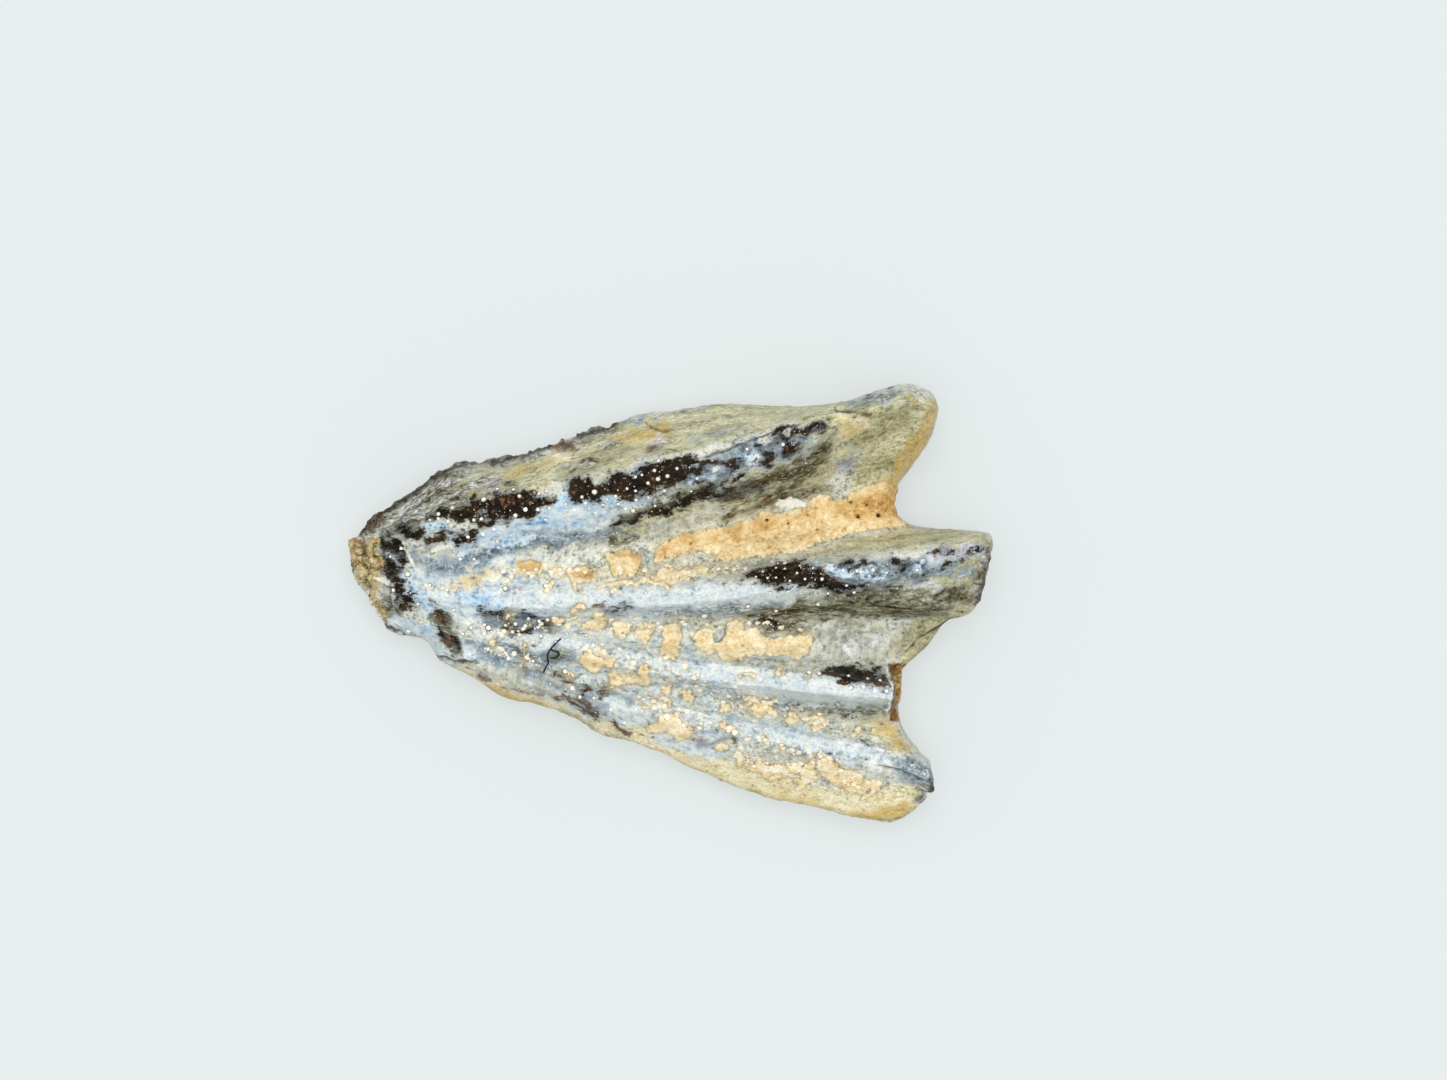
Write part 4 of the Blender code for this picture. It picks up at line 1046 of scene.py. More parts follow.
def roughen_plate(plate, fan):
    """Raises and sinks the fine surface. Returns each vertex's flow place, way down and charted depths."""
    keep = plate.verts.layers.float
    plate.verts.index_update()
    places = np.array([vert.co for vert in plate.verts])
    plate.normal_update()
    normals = np.array([vert.normal for vert in plate.verts])
    u, q, down = (np.array([vert[keep[name]] for vert in plate.verts]) for name in ("u", "q", "down"))
    side = np.clip(down, 0.0, 1.0)
    flow = np.column_stack([u * PLATE_LENGTH, q * RAIL_SPACING, down * WALL_LENGTH])
    depths = chart_depths(photo_pixels(places))
    raised = crown_relief(places, flow, depths, smoothstep(*CROWN_ENDS, side))
    walls = (down > 0.0) & (down < 1.0)
    fine_noise = grain(places + NOISE_SHIFTS["wall"], WALL_FINE_SIZE, 2)
    wall_noise = grain(places, WALL_NOISE_SIZE, 4) + WALL_FINE_SHARE * fine_noise
    raised += np.where(walls, WALL_ROUGHNESS * smoothstep(*WALL_STARTS, side) * wall_noise, 0.0)
    places += normals * raised[:, None]
    ledge = depth_in_patches(photo_pixels(places), {"ledge": BROKEN_LEDGE})
    fallen = FRACTURE_DROP * smoothstep(*FRACTURE_DROP_EDGE, depths["break"])
    fallen += LEDGE_DROP * smoothstep(*LEDGE_DROP_EDGE, ledge)
    places[:, 2] -= fallen * (1.0 - side) * smoothstep(0.0, FRACTURE_EDGE, fan.edge_distance(places[:, :2]))
    depths["rim"] = fan.edge_distance(places[:, :2])
    under = down == BASE_DOWN
    hollow = smoothstep(*BASE_HOLLOW_EDGE, depths["rim"][under])
    bumps = grain(places[under], BASE_BUMP_SIZE, 4)
    places[under, 2] = np.maximum(BASE_REST, BASE_HOLLOW * hollow + BASE_BUMPS * hollow * bumps)
    places[:, 2] = np.maximum(places[:, 2], 0.0)
    for vert, place in zip(plate.verts, places):
        vert.co = place
    return flow, down, depths


def keep_attribute(mesh, name, kind, values):
    """Stores one value for each point of the mesh."""
    field = "vector" if kind == "FLOAT_VECTOR" else "value"
    mesh.attributes.new(name, kind, "POINT").data.foreach_set(field, np.asarray(values, np.float32).ravel())


def finished(name, shape, material):
    """The finished piece: in metres, smooth, and riding on the one body in place of the plain solid."""
    bmesh.ops.scale(shape, verts=shape.verts, vec=Vector((MM, MM, MM)))
    mesh = bpy.data.meshes.new(name)
    shape.to_mesh(mesh)
    shape.free()
    mesh.materials.append(material)
    mesh.shade_smooth()
    piece = bpy.data.objects.new(name, mesh)
    bpy.context.scene.collection.objects.link(piece)
    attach(piece, "root")
    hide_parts("tooth_plate")
    return piece


NOISE_STRETCH = 2.6


class Value:
    """A number from a socket. Python's operators on it add Math nodes."""

    def __init__(self, finish, socket):
        self.finish = finish
        self.socket = socket

    def __add__(self, other):
        return self.finish.maths("ADD", self, other)

    def __sub__(self, other):
        return self.finish.maths("SUBTRACT", self, other)

    def __rsub__(self, other):
        return self.finish.maths("SUBTRACT", other, self)

    def __mul__(self, other):
        return self.finish.maths("MULTIPLY", self, other)

    def __truediv__(self, other):
        return self.finish.maths("DIVIDE", self, other)

    def __gt__(self, other):
        return self.finish.maths("GREATER_THAN", self, other)

    def __abs__(self):
        return self.finish.maths("ABSOLUTE", self)

    __radd__ = __add__
    __rmul__ = __mul__


def srgb(red, green, blue):
    """The linear colour of a colour given as 0 to 255 in sRGB."""
    def linear(part):
        part /= 255.0
        return part / 12.92 if part <= 0.04045 else ((part + 0.055) / 1.055) ** 2.4

    return (linear(red), linear(green), linear(blue), 1.0)


class Finish:
    """A material under construction."""

    def __init__(self, name, roughness=0.45, specular=0.35):
        self.material = bpy.data.materials.new(name)
        self.material.use_nodes = True
        self.nodes = self.material.node_tree.nodes
        self.links = self.material.node_tree.links
        self.shader = self.nodes["Principled BSDF"]
        self.shader.inputs["Roughness"].default_value = roughness
        self.shader.inputs["Specular IOR Level"].default_value = specular
        place = self.node("ShaderNodeTexCoord").outputs["Object"]
        self.place = self.scaled(place, (1.0 / MM,) * 3)

    def node(self, kind, settings=None, inputs=None):
        """Adds a node, sets it up, and sets or links its inputs."""
        node = self.nodes.new(kind)
        settings = dict(settings or {})
        for number, (place, colour) in enumerate(settings.pop("stops", ())):
            ramp = node.color_ramp.elements
            stop = ramp[number] if number < len(ramp) else ramp.new(place)
            stop.position, stop.color = place, colour
        for name, value in settings.items():
            setattr(node, name, value)
        for name, value in (inputs or {}).items():
            self.feed(node.inputs[name], value)
        return node

    def feed(self, socket, value):
        """Links a socket or a Value to an input, or sets it to a constant."""
        if isinstance(value, Value):
            value = value.socket
        if isinstance(value, bpy.types.NodeSocket):
            self.links.new(value, socket)
        else:
            socket.default_value = value

    def maths(self, operation, *values):
        numbered = dict(enumerate(values))
        return Value(self, self.node("ShaderNodeMath", {"operation": operation}, numbered).outputs[0])

    def clamped(self, value):
        node = self.node("ShaderNodeClamp", None, {"Value": value})
        return Value(self, node.outputs[0])

    def attribute(self, name, output="Fac"):
        socket = self.node("ShaderNodeAttribute", {"attribute_name": name}).outputs[output]
        return Value(self, socket) if output == "Fac" else socket

    def scaled(self, vector, factors):
        inputs = {0: vector, 1: factors}
        return self.node("ShaderNodeVectorMath", {"operation": "MULTIPLY"}, inputs).outputs[0]

    def noise(self, place, scale, detail=2.0, roughness=0.55, distortion=0.0):
        """Fractal noise, stretched to run from about -1 to 1."""
        inputs = {"Vector": place, "Scale": scale, "Detail": detail, "Roughness": roughness}
        made = self.node("ShaderNodeTexNoise", None, inputs | {"Distortion": distortion}).outputs["Fac"]
        return (Value(self, made) - 0.5) * NOISE_STRETCH

    def cells(self, place, scale):
        """How far each place lies from the middle of the nearest of many random cells."""
        made = self.node("ShaderNodeTexVoronoi", None, {"Vector": place, "Scale": scale})
        return Value(self, made.outputs["Distance"])

    def edge(self, depth, softness):
        """0 outside a charted finish, 1 inside it, across an edge of this softness in pixels."""
        return self.clamped(depth / softness + 0.5)

    def mix(self, share, first, second, blend="MIX"):
        """A colour between two: sockets or colours, by a Value or a number."""
        node = self.node("ShaderNodeMix", {"data_type": "RGBA", "blend_type": blend})
        for socket, value in zip((node.inputs[0], node.inputs[6], node.inputs[7]), (share, first, second)):
            self.feed(socket, value)
        return node.outputs[2]

    def ramp(self, value, stops):
        """A colour that runs through the stops, each a place from 0 to 1 and an sRGB colour."""
        stops = [(place, srgb(*colour)) for place, colour in stops.items()]
        return self.node("ShaderNodeValToRGB", {"stops": stops}, {"Fac": value}).outputs["Color"]

    def bump(self, heights):
        """Bumps the surface by heights given in millimetres."""
        node = self.node("ShaderNodeBump", None, {"Strength": 1.0, "Distance": MM, "Height": heights})
        self.feed(self.shader.inputs["Normal"], node.outputs["Normal"])


# Each finish's colours, from its darkest spots to its lightest
TONES = {
    "dentine": {
        0.0: (104, 102, 88), 0.25: (164, 168, 158), 0.45: (202, 206, 196), 0.65: (224, 222, 202),
        0.82: (212, 222, 224), 1.0: (244, 241, 226),
    },
    "olive": {
        0.0: (86, 82, 56), 0.25: (152, 150, 114), 0.5: (199, 195, 160), 0.72: (219, 214, 176),
        1.0: (238, 234, 206),
    },
    "moss": {
        0.0: (64, 60, 38), 0.25: (116, 112, 76), 0.5: (158, 154, 114), 0.75: (186, 182, 142),
        1.0: (214, 210, 176),
    },
    "tan": {
        0.0: (150, 132, 92), 0.25: (206, 194, 146), 0.5: (228, 218, 178), 0.75: (240, 232, 200),
        1.0: (250, 246, 228),
    },
    "ochre": {0.0: (108, 88, 40), 0.3: (166, 142, 70), 0.6: (196, 172, 94), 1.0: (226, 208, 146)},
    "grey": {0.0: (92, 88, 72), 0.3: (160, 162, 148), 0.6: (204, 206, 192), 1.0: (236, 236, 226)},
    "pale": {
        0.0: (112, 122, 126), 0.2: (158, 174, 184), 0.45: (196, 210, 216), 0.7: (222, 228, 222),
        1.0: (246, 240, 218),
    },
    "mauve": {0.0: (86, 72, 70), 0.3: (146, 134, 136), 0.6: (200, 194, 200), 1.0: (234, 230, 234)},
    "slate": {
        0.0: (22, 22, 22), 0.28: (70, 80, 88), 0.52: (122, 138, 148), 0.78: (170, 188, 198),
        1.0: (220, 228, 226),
    },
    "flank": {
        0.0: (20, 15, 8), 0.22: (58, 48, 28), 0.42: (106, 102, 76), 0.68: (150, 152, 128),
        1.0: (202, 206, 190),
    },
    "white": {0.0: (152, 170, 180), 0.35: (200, 211, 214), 0.7: (223, 229, 226), 1.0: (240, 241, 234)},
    "sky": {
        0.0: (70, 110, 172), 0.18: (130, 174, 218), 0.38: (186, 211, 229), 0.62: (211, 226, 231),
        1.0: (240, 244, 240),
    },
    "crag": {
        0.0: (28, 22, 15), 0.25: (88, 76, 54), 0.5: (150, 146, 126), 0.72: (180, 184, 178),
        1.0: (218, 222, 220),
    },
    "umber": {
        0.0: (5, 3, 1), 0.45: (28, 19, 7), 0.68: (64, 45, 22), 0.86: (112, 88, 54), 1.0: (172, 152, 116),
    },
    "boss": {
        0.0: (60, 44, 24), 0.22: (130, 108, 66), 0.45: (190, 172, 122), 0.75: (214, 200, 152),
        1.0: (236, 226, 188),
    },
    "plate": {
        0.0: (190, 158, 108), 0.22: (228, 202, 152), 0.45: (239, 219, 174), 0.8: (248, 237, 204),
        1.0: (253, 247, 231),
    },
    "fill": {
        0.0: (142, 98, 50), 0.2: (198, 156, 94), 0.42: (226, 194, 138), 0.7: (238, 216, 166),
        1.0: (250, 238, 210),
    },
    "amber": {0.0: (144, 98, 46), 0.4: (194, 150, 84), 0.7: (216, 175, 107), 1.0: (240, 211, 154)},
    "rust": {0.0: (24, 14, 8), 0.4: (62, 40, 24), 0.7: (106, 74, 46), 1.0: (160, 124, 86)},
    "break": {0.0: (74, 50, 28), 0.35: (132, 98, 56), 0.7: (172, 134, 80), 1.0: (214, 184, 128)},
    "bone": {0.0: (84, 66, 44), 0.3: (146, 126, 88), 0.6: (190, 172, 126), 1.0: (222, 208, 166)},
}

# The noises in the crown's finish: stretch, scale, detail, roughness and distortion. Some lie evenly over the
# plate, and some flow along the ridges.
EVEN_NOISES = {
    "grit": ((1.0, 1.0, 1.0), 19.0, 1.0, 0.55, 0.0),
    "speck": ((1.0, 1.0, 1.0), 11.0, 2.0, 0.55, 0.0),
    "blotch": ((1.0, 1.0, 1.0), 5.0, 3.0, 0.55, 0.0),
    "cloud": ((1.0, 1.0, 1.0), 1.9, 3.0, 0.55, 0.0),
    "haze": ((1.3, 1.7, 1.0), 1.6, 3.0, 0.55, 0.0),
    "crumbs": ((1.0, 1.1, 1.0), 8.0, 2.0, 0.55, 0.0),
    "veins": ((1.0, 1.0, 1.0), 6.5, 2.0, 0.6, 0.4),
    "drip": ((5.0, 1.1, 2.0), 1.0, 3.0, 0.6, 0.6),
}
FLOWING_NOISES = {
    "streak": ((1.1, 7.5, 4.0), 1.0, 4.0, 0.6, 0.4),
    "thread": ((3.0, 24.0, 9.0), 1.0, 3.0, 0.6, 0.3),
    "strands": ((1.6, 11.0, 5.0), 1.0, 2.0, 0.6, 0.5),
}
LINE_SHARPNESS = 9.0

# What tones follow: sums of the noises by their shares, about this middle
MIXTURES = {
    "marbled": {"blotch": 0.60, "speck": 0.44, "grit": 0.18, "cloud": 0.25},
    "streaked": {"streak": 0.64, "thread": 0.45, "speck": 0.20, "grit": 0.10},
    "speckled": {"speck": 0.50, "blotch": 0.45, "grit": 0.14, "cloud": 0.20},
    "clouded": {"blotch": 0.50, "cloud": 0.45, "speck": 0.20},
}
MIDDLE_TONE = 0.5

# How far the noises move a finish's edge, in pixels, and how fast the finishes fade out down the wall
EDGE_NOISES = {"blotch": 6.0, "speck": 4.0, "grit": 1.5}
WALL_FADE = 14.0

# The crown's finishes from the lowest to the topmost: its chart, its tones, how fully it covers, its edge
# (softness, raggedness, streakiness and growth), what its tones follow, and how far they are lightened
LAYERS = (
    ("olive", "olive", 1.0, (6.0, 1.0, 3.0), {"streaked": 0.7, "marbled": 0.3}, 0.0),
    ("tan", "tan", 1.0, (8.0, 1.0, 3.0), {"streaked": 0.4, "marbled": 0.6}, 0.0),
    ("ochre", "ochre", 0.9, (8.0, 1.1, 3.0), {"streaked": 0.5, "marbled": 0.5}, 0.0),
    ("moss", "moss", 0.8, (10.0, 1.2, 3.0), {"streaked": 0.5, "marbled": 0.5}, 0.0),
    ("grey", "grey", 0.85, (5.0, 1.0, 1.5), {"clouded": 0.6, "drip": 0.35}, 0.2),
    ("pale", "pale", 0.95, (4.0, 1.0, 2.0), {"marbled": 0.35, "clouded": 0.65, "streak": 0.25}, 0.0),
    ("mauve", "mauve", 0.8, (4.0, 1.0), {"speckled": 1.0}, 0.0),
    ("slate", "slate", 0.85, (5.0, 1.3, 4.0), {"marbled": 0.6, "streaked": 0.4}, 0.0),
    ("flank", "flank", 1.0, (4.0, 1.1, 4.5), {"streaked": 1.0}, 0.0),
    ("white", "white", 0.80, (8.0, 1.4, 3.5, 1.0), {"streaked": 0.4, "clouded": 0.6}, 0.0),
    ("sky", "sky", 0.92, (3.5, 1.1, 2.0), {"clouded": 1.0}, 0.0),
    ("cream", "tan", 0.8, (9.0, 1.3, 2.0), {"marbled": 1.0}, 0.0),
    ("crag", "crag", 0.95, (4.5, 1.0, 3.0), {"streaked": 1.15}, 0.02),
    ("umber", "slate", 0.5, (5.0, 1.3, 2.0, 3.0), {"marbled": 0.8}, 0.0),
    ("umber", "umber", 1.0, (4.0, 1.35, 6.5, 0.8), {"clouded": 0.75, "speck": 0.26}, 0.04),
)
# Dark strands in a finish: their share and colour. A haze in it: its gain, its threshold and its colour.
STRANDS = {"olive": (0.40, (104, 100, 76)), "flank": (0.75, (32, 24, 14)), "crag": (0.75, (30, 24, 18))}
HAZES = {"olive": (0.8, 0.25, (164, 176, 172)), "bone": (1.4, 0.2, (176, 118, 66))}

# The edges of what lies over those finishes: softness, raggedness, streakiness and growth
EDGES = {
    "bone": (3.5, 0.7),
    "break": (1.5, 0.25),
    "crumble": (6.0, 0.8),
    "dust": (9.0, 1.2, 0.0, 3.0),
    "foot": (1.8, 0.25, 0.0, 1.3),
    "matrix": (1.6, 0.30),
    "amber": (7.0, 1.2),
    "rust": (3.0, 0.9, 2.0),
    "chalk": (1.5, 0.35),
}
# Single colours in the crown's finish
VEIN = (110, 108, 96)
RIM_SHADE = (52, 42, 26)
BOSS_VEIN = (70, 48, 28)
DARK_FLECK = (84, 74, 58)
LIGHT_FLECK = (244, 240, 222)
CRUMB_SHADOW_LINE = (112, 104, 84)
MATRIX_FOOT_SHADOW = (118, 106, 80)
AMBER_STAIN = (222, 188, 122)
CHALKY = (246, 244, 234)
PORE = (50, 32, 20)
CRACK_AND_STEP_SHADE = (34, 30, 26)
BONE_PORE = (84, 66, 44)

PLATE_SPECULAR = 0.08
SHINE = 0.32
DULLNESS = {"matrix": 0.35, "bone": 0.30, "olive": 0.06, "crag": 0.20, "boss": 0.20, "speck": 0.08}
# Bumps in millimetres
BUMPS = {
    "grit": 0.0030, "speck": 0.0060, "thread": 0.0040, "matrix": 0.014, "crumb": 0.014, "crag strand": 0.020,
    "olive strand": 0.004, "strand": 0.002, "pore": 0.03, "crease": 0.012, "bone pore": 0.03,
}


def plate_finish():
    """Dentine and bone, mineral stains and matrix, each where the chart has it."""
    finish = Finish("mottled fossil dentine", specular=PLATE_SPECULAR)
    flow = finish.attribute("flow", "Vector")
    side = finish.clamped(finish.attribute("down"))
    depth = {name: finish.attribute(name) for name in CHARTED}

    noises = {}
    for field, made in ((finish.place, EVEN_NOISES), (flow, FLOWING_NOISES)):
        for name, (stretch, *shape) in made.items():
            noises[name] = finish.noise(finish.scaled(field, stretch), *shape)
    grit, speck, blotch = noises["grit"], noises["speck"], noises["blotch"]
    strand = finish.clamped(1.0 - abs(noises["strands"]) * LINE_SHARPNESS)
    vein = finish.clamped(1.0 - abs(noises["veins"]) * LINE_SHARPNESS)

    def summed(parts, lightened=0.0):
        """The sum of some noises by their shares."""
        terms = [noises[name] * share for name, share in parts.items()]
        return sum(terms[1:], terms[0]) + lightened

    for name, parts in MIXTURES.items():
        noises[name] = summed(parts, MIDDLE_TONE)
    marbled = noises["marbled"]

    def mask(name, softness, ragged, streaky=0.0, grow=0.0):
        """Where the finish is, with a ragged edge, fading out down the wall."""
        wander = summed({part: reach * ragged for part, reach in EDGE_NOISES.items()})
        if streaky:
            wander = wander + noises["streak"] * streaky
        return finish.edge(depth[name] + wander - side * WALL_FADE + grow, softness)

    def toned(name, by):
        return finish.ramp(by, TONES[name])

    def hazed(name, tone):
        """The tone with the finish's haze over it."""
        gain, threshold, tint = HAZES[name]
        return finish.mix(finish.clamped(noises["haze"] * gain - threshold), tone, srgb(*tint))

    colour = toned("dentine", summed({"marbled": 1.0, "streak": 0.15}, 0.04))
    colour = finish.mix(vein * 0.30, colour, srgb(*VEIN))
    masks = {}
    for name, tones, cover, edge, follows, lightened in LAYERS:
        tone = toned(tones, summed(follows, lightened))
        if name in STRANDS:
            share, dark = STRANDS[name]
            tone = finish.mix(strand * share, tone, srgb(*dark))
        if name in HAZES:
            tone = hazed(name, tone)
        masks[name] = mask(name, *edge)
        colour = finish.mix(masks[name] * cover, colour, tone)
    crag, olive = masks["crag"], masks["olive"]

    # A painted dark shade along the outline, strongest on the craggy border
    rim_shade = finish.clamped(1.15 - finish.attribute("rim") * 9.0 + speck * 0.5) * (1.0 - side)
    colour = finish.mix(rim_shade * (crag * 0.75 + 0.15), colour, srgb(*RIM_SHADE))

    boss = mask("bone", *EDGES["bone"])
    boss_tone = finish.mix(vein * 0.7, toned("boss", marbled * 1.2 - 0.1), srgb(*BOSS_VEIN))
    colour = finish.mix(boss * 0.95, colour, hazed("bone", boss_tone))
    colour = finish.mix(mask("break", *EDGES["break"]), colour, toned("break", marbled))

    # Dark flecks and light flecks, fewer on the smooth white crests
    rough = finish.clamped(1.0 - masks["white"] * 0.5 - masks["grey"] * 0.4 - masks["pale"] * 0.4)
    colour = finish.mix(finish.clamped(speck * -2.6 - 1.0) * rough * 0.5, colour, srgb(*DARK_FLECK))
    colour = finish.mix(finish.clamped(speck * 2.6 - 0.95) * rough * 0.5, colour, srgb(*LIGHT_FLECK))

    # Crumbs of matrix, each with a painted dark shadow line round it
    crumbly = mask("crumble", *EDGES["crumble"])
    level = (noises["crumbs"] - (0.76 - crumbly * 0.50)) * 6.0
    crumb = finish.clamped(level)
    colour = finish.mix((finish.clamped(level + 1.0) - crumb) * crumbly * 0.55, colour, srgb(*CRUMB_SHADOW_LINE))
    colour = finish.mix(crumb * crumbly * 0.8, colour, toned("tan", marbled))

    # Matrix, with a haze of its dust around it and a painted dark shadow line at its foot
    colour = finish.mix(mask("matrix", *EDGES["dust"]) * 0.45, colour, toned("tan", marbled))
    colour = finish.mix(mask("matrix", *EDGES["foot"]) * 0.45, colour, srgb(*MATRIX_FOOT_SHADOW))
    matrix = mask("matrix", *EDGES["matrix"])
    amber = mask("amber", *EDGES["amber"])
    matrix_tone = finish.mix(
        finish.edge(depth["fill"] + blotch * 3.0, 4.0),
        toned("plate", summed({"marbled": 0.6, "clouded": 0.4})),
        toned("fill", summed({"clouded": 0.5, "marbled": 0.5}, 0.08)),
    )
    matrix_tone = finish.mix(amber * 0.85, matrix_tone, toned("amber", marbled))
    colour = finish.mix(amber * (1.0 - matrix) * 0.5, colour, srgb(*AMBER_STAIN))
    colour = finish.mix(matrix, colour, matrix_tone)

    colour = finish.mix(mask("rust", *EDGES["rust"]) * 0.85, colour, toned("rust", noises["speckled"]))
    colour = finish.mix(mask("chalk", *EDGES["chalk"]) * 0.85, colour, srgb(*CHALKY))
    pore = finish.edge(depth["pore"] + grit * 0.3, 1.2)
    colour = finish.mix(pore, colour, srgb(*PORE))
    # Dark lines along the charted creases: partly real cracks, partly painted shade at steps, ledges and the
    # feet of lumps
    crease = finish.edge(depth["crease"] + grit * 0.6 + speck * 0.5 + 0.2, 1.5)
    colour = finish.mix(crease * 0.85, colour, srgb(*CRACK_AND_STEP_SHADE))

    # Bone below the crown: tan, spongy, with open pores
    bone = finish.clamped(side * 1.5 - 0.25 + blotch * 0.25)
    bone_pore = finish.clamped(0.9 - finish.cells(finish.place, 5.5) * 3.2 + speck * 0.3)
    bone_tone = finish.mix(bone_pore * 0.8, toned("bone", marbled), srgb(*BONE_PORE))
    colour = finish.mix(bone, colour, bone_tone)

    # Grain over everything
    shade = finish.clamped(0.96 + grit * 0.22 + speck * 0.10)
    tint = finish.node("ShaderNodeCombineColor", None, {0: shade, 1: shade, 2: shade}).outputs[0]
    colour = finish.mix(1.0, colour, tint, "MULTIPLY")
    finish.feed(finish.shader.inputs["Base Color"], colour)

    noises |= {"matrix": matrix, "bone": bone, "olive": olive, "crag": crag, "boss": boss}
    finish.feed(finish.shader.inputs["Roughness"], finish.clamped(summed(DULLNESS, SHINE)))
    heights = grit * BUMPS["grit"] + speck * BUMPS["speck"] * rough + noises["thread"] * BUMPS["thread"]
    heights = heights + matrix * BUMPS["matrix"] + crumb * crumbly * BUMPS["crumb"]
    furrow = crag * BUMPS["crag strand"] + olive * BUMPS["olive strand"] + BUMPS["strand"]
    hole = pore * BUMPS["pore"] + crease * BUMPS["crease"] + bone_pore * bone * BUMPS["bone pore"]
    finish.bump(heights - strand * furrow - hole)
    return finish.material


def build_plate():
    """The whole tooth plate as one closed mesh."""
    fan = Fan()
    plate = fine_plate(fan)
    flow, down, depths = roughen_plate(plate, fan)
    surface = BVHTree.FromBMesh(plate)
    piece = finished("tooth_plate_surface", plate, plate_finish())
    keep_attribute(piece.data, "flow", "FLOAT_VECTOR", flow)
    keep_attribute(piece.data, "down", "FLOAT", down)
    for name, depth in depths.items():
        keep_attribute(piece.data, name, "FLOAT", depth)
    return surface


# A ball's form: its half width, its half height and how far it is lifted, as shares of the bead's half width
BEAD_FORM = (1.0, 0.8, 0.2)
# A flat dark disc round a bead: a sheet of painted shade under it
SHADE_RING_FORM = (1.35, 0.25, 0.0)
CRUMB_FORM = (1.0, 0.35, 0.0)
WOBBLE_SPREAD = 9.0
WOBBLE_SCALE = 1.6
# Beads and crumbs have tones drawn about a middle, with a spread, and a ring's tone stands for a third
# colour, the dark grey of the painted shade round a bead
BEAD_SEED = 7
BEAD_TONES = (0.2, 0.3)
BEAD_WOBBLE = 0.14
BEAD_SHRINK = 0.78
SHADE_RINGED_SHARE = 0.6
SHADE_RING_TONE = 2.0
CRUMB_SEED = 11
CRUMB_TONES = (0.35, 0.3)
CRUMB_WOBBLE = 0.55
CRUMB_COUNT = 400
CRUMB_SIZES = (0.9, 3.6)
# Small beads are strewn over some finishes: how many, and their least and largest half widths in pixels
SCATTER = (
    ("umber", 70, (0.5, 1.0)),
    ("pale", 80, (0.7, 1.2)),
    ("slate", 60, (0.7, 1.3)),
    ("flank", 40, (0.5, 0.9)),
    ("grey", 50, (0.7, 1.3)),
)


def over_pixel(surface, x, y):
    """The point and the normal of the surface that the photograph shows at a pixel."""
    eye = Vector((*VIEW_MIDDLE, SHARP_HEIGHT + CAMERA_RISE))
    seen = Vector(((x - BASE_PIXEL[0]) * MM_PER_PIXEL, (BASE_PIXEL[1] - y) * MM_PER_PIXEL, SHARP_HEIGHT))
    return surface.ray_cast(eye, (seen - eye).normalized())[:2]


def strewn(draw, chart, count, sizes):
    """Places strewn over the strokes of a chart: (pixel x, pixel y, half width in pixels)."""
    def area(chain):
        spans = zip(chain[:-1], chain[1:])
        return sum(math.dist(start[:2], end[:2]) * (start[2] + end[2]) for start, end in spans)

    strokes = list(chart.values())
    areas = [area(chain) for chain in strokes]
    places = []
    for _ in range(count):
        chain = draw.choices(strokes, areas)[0]
        start, end = draw.choice(list(zip(chain[:-1], chain[1:])))
        share, turn, reach = draw.random(), draw.uniform(0.0, math.tau), draw.random()
        x, y, width = (low + (high - low) * share for low, high in zip(start, end))
        width *= reach
        size = sizes[0] + (sizes[1] - sizes[0]) * draw.random() ** 2
        places.append((x + width * math.cos(turn), y + width * math.sin(turn), size))
    return places


def scattered_beads(draw):
    """Small beads strewn over the finishes that carry them."""
    return [bead for name, count, sizes in SCATTER for bead in strewn(draw, LOOSE_CHARTS[name], count, sizes)]


def bead_finish():
    """White to cream mineral, a little glossy, each bead with its own tone."""
    finish = Finish("mineral bead", 0.3, 0.5)
    tone = finish.attribute("tone")
    speck = finish.noise(finish.place, 20.0, 1.0)
    colour = finish.mix(finish.clamped(tone), srgb(244, 246, 244), srgb(240, 226, 192))
    colour = finish.mix(finish.clamped(speck * 0.6 - 0.1), colour, srgb(200, 194, 180))
    # The dark grey of the painted shade rings round the beads
    colour = finish.mix(tone > 1.5, colour, srgb(112, 106, 98))
    finish.feed(finish.shader.inputs["Base Color"], colour)
    finish.bump(speck * 0.002)
    return finish.material


def unit_bead():
    """A ball of a few dozen faces, one millimetre in radius."""
    ball = bmesh.new()
    bmesh.ops.create_uvsphere(ball, u_segments=8, v_segments=5, radius=1.0)
    mesh = bpy.data.meshes.new("unit_bead")
    ball.to_mesh(mesh)
    ball.free()
    return mesh


def add_ball(beads, ball, place, radius, form, uneven, own_tone):
    """Adds one ball, pressed to its form along and across the surface's normal."""
    point, normal = place
    half_width, half_height, lift = (radius * share for share in form)
    tone = beads.verts.layers.float["tone"]
    first = len(beads.verts)
    beads.from_mesh(ball)
    beads.verts.ensure_lookup_table()
    turn = normal.to_track_quat("Z", "Y").to_matrix()
    for vert in beads.verts[first:]:
        wobble = 1.0 + uneven * noise.noise(point * WOBBLE_SPREAD + vert.co * WOBBLE_SCALE)
        flat = Vector((vert.co.x * half_width, vert.co.y * half_width, vert.co.z * half_height + lift))
        vert.co = point + turn @ (flat * wobble)
        vert[tone] = own_tone


def drawn_tone(draw, tones):
    """A tone from 0 to 1, drawn about a middle."""
    return min(1.0, max(0.0, draw.gauss(*tones)))


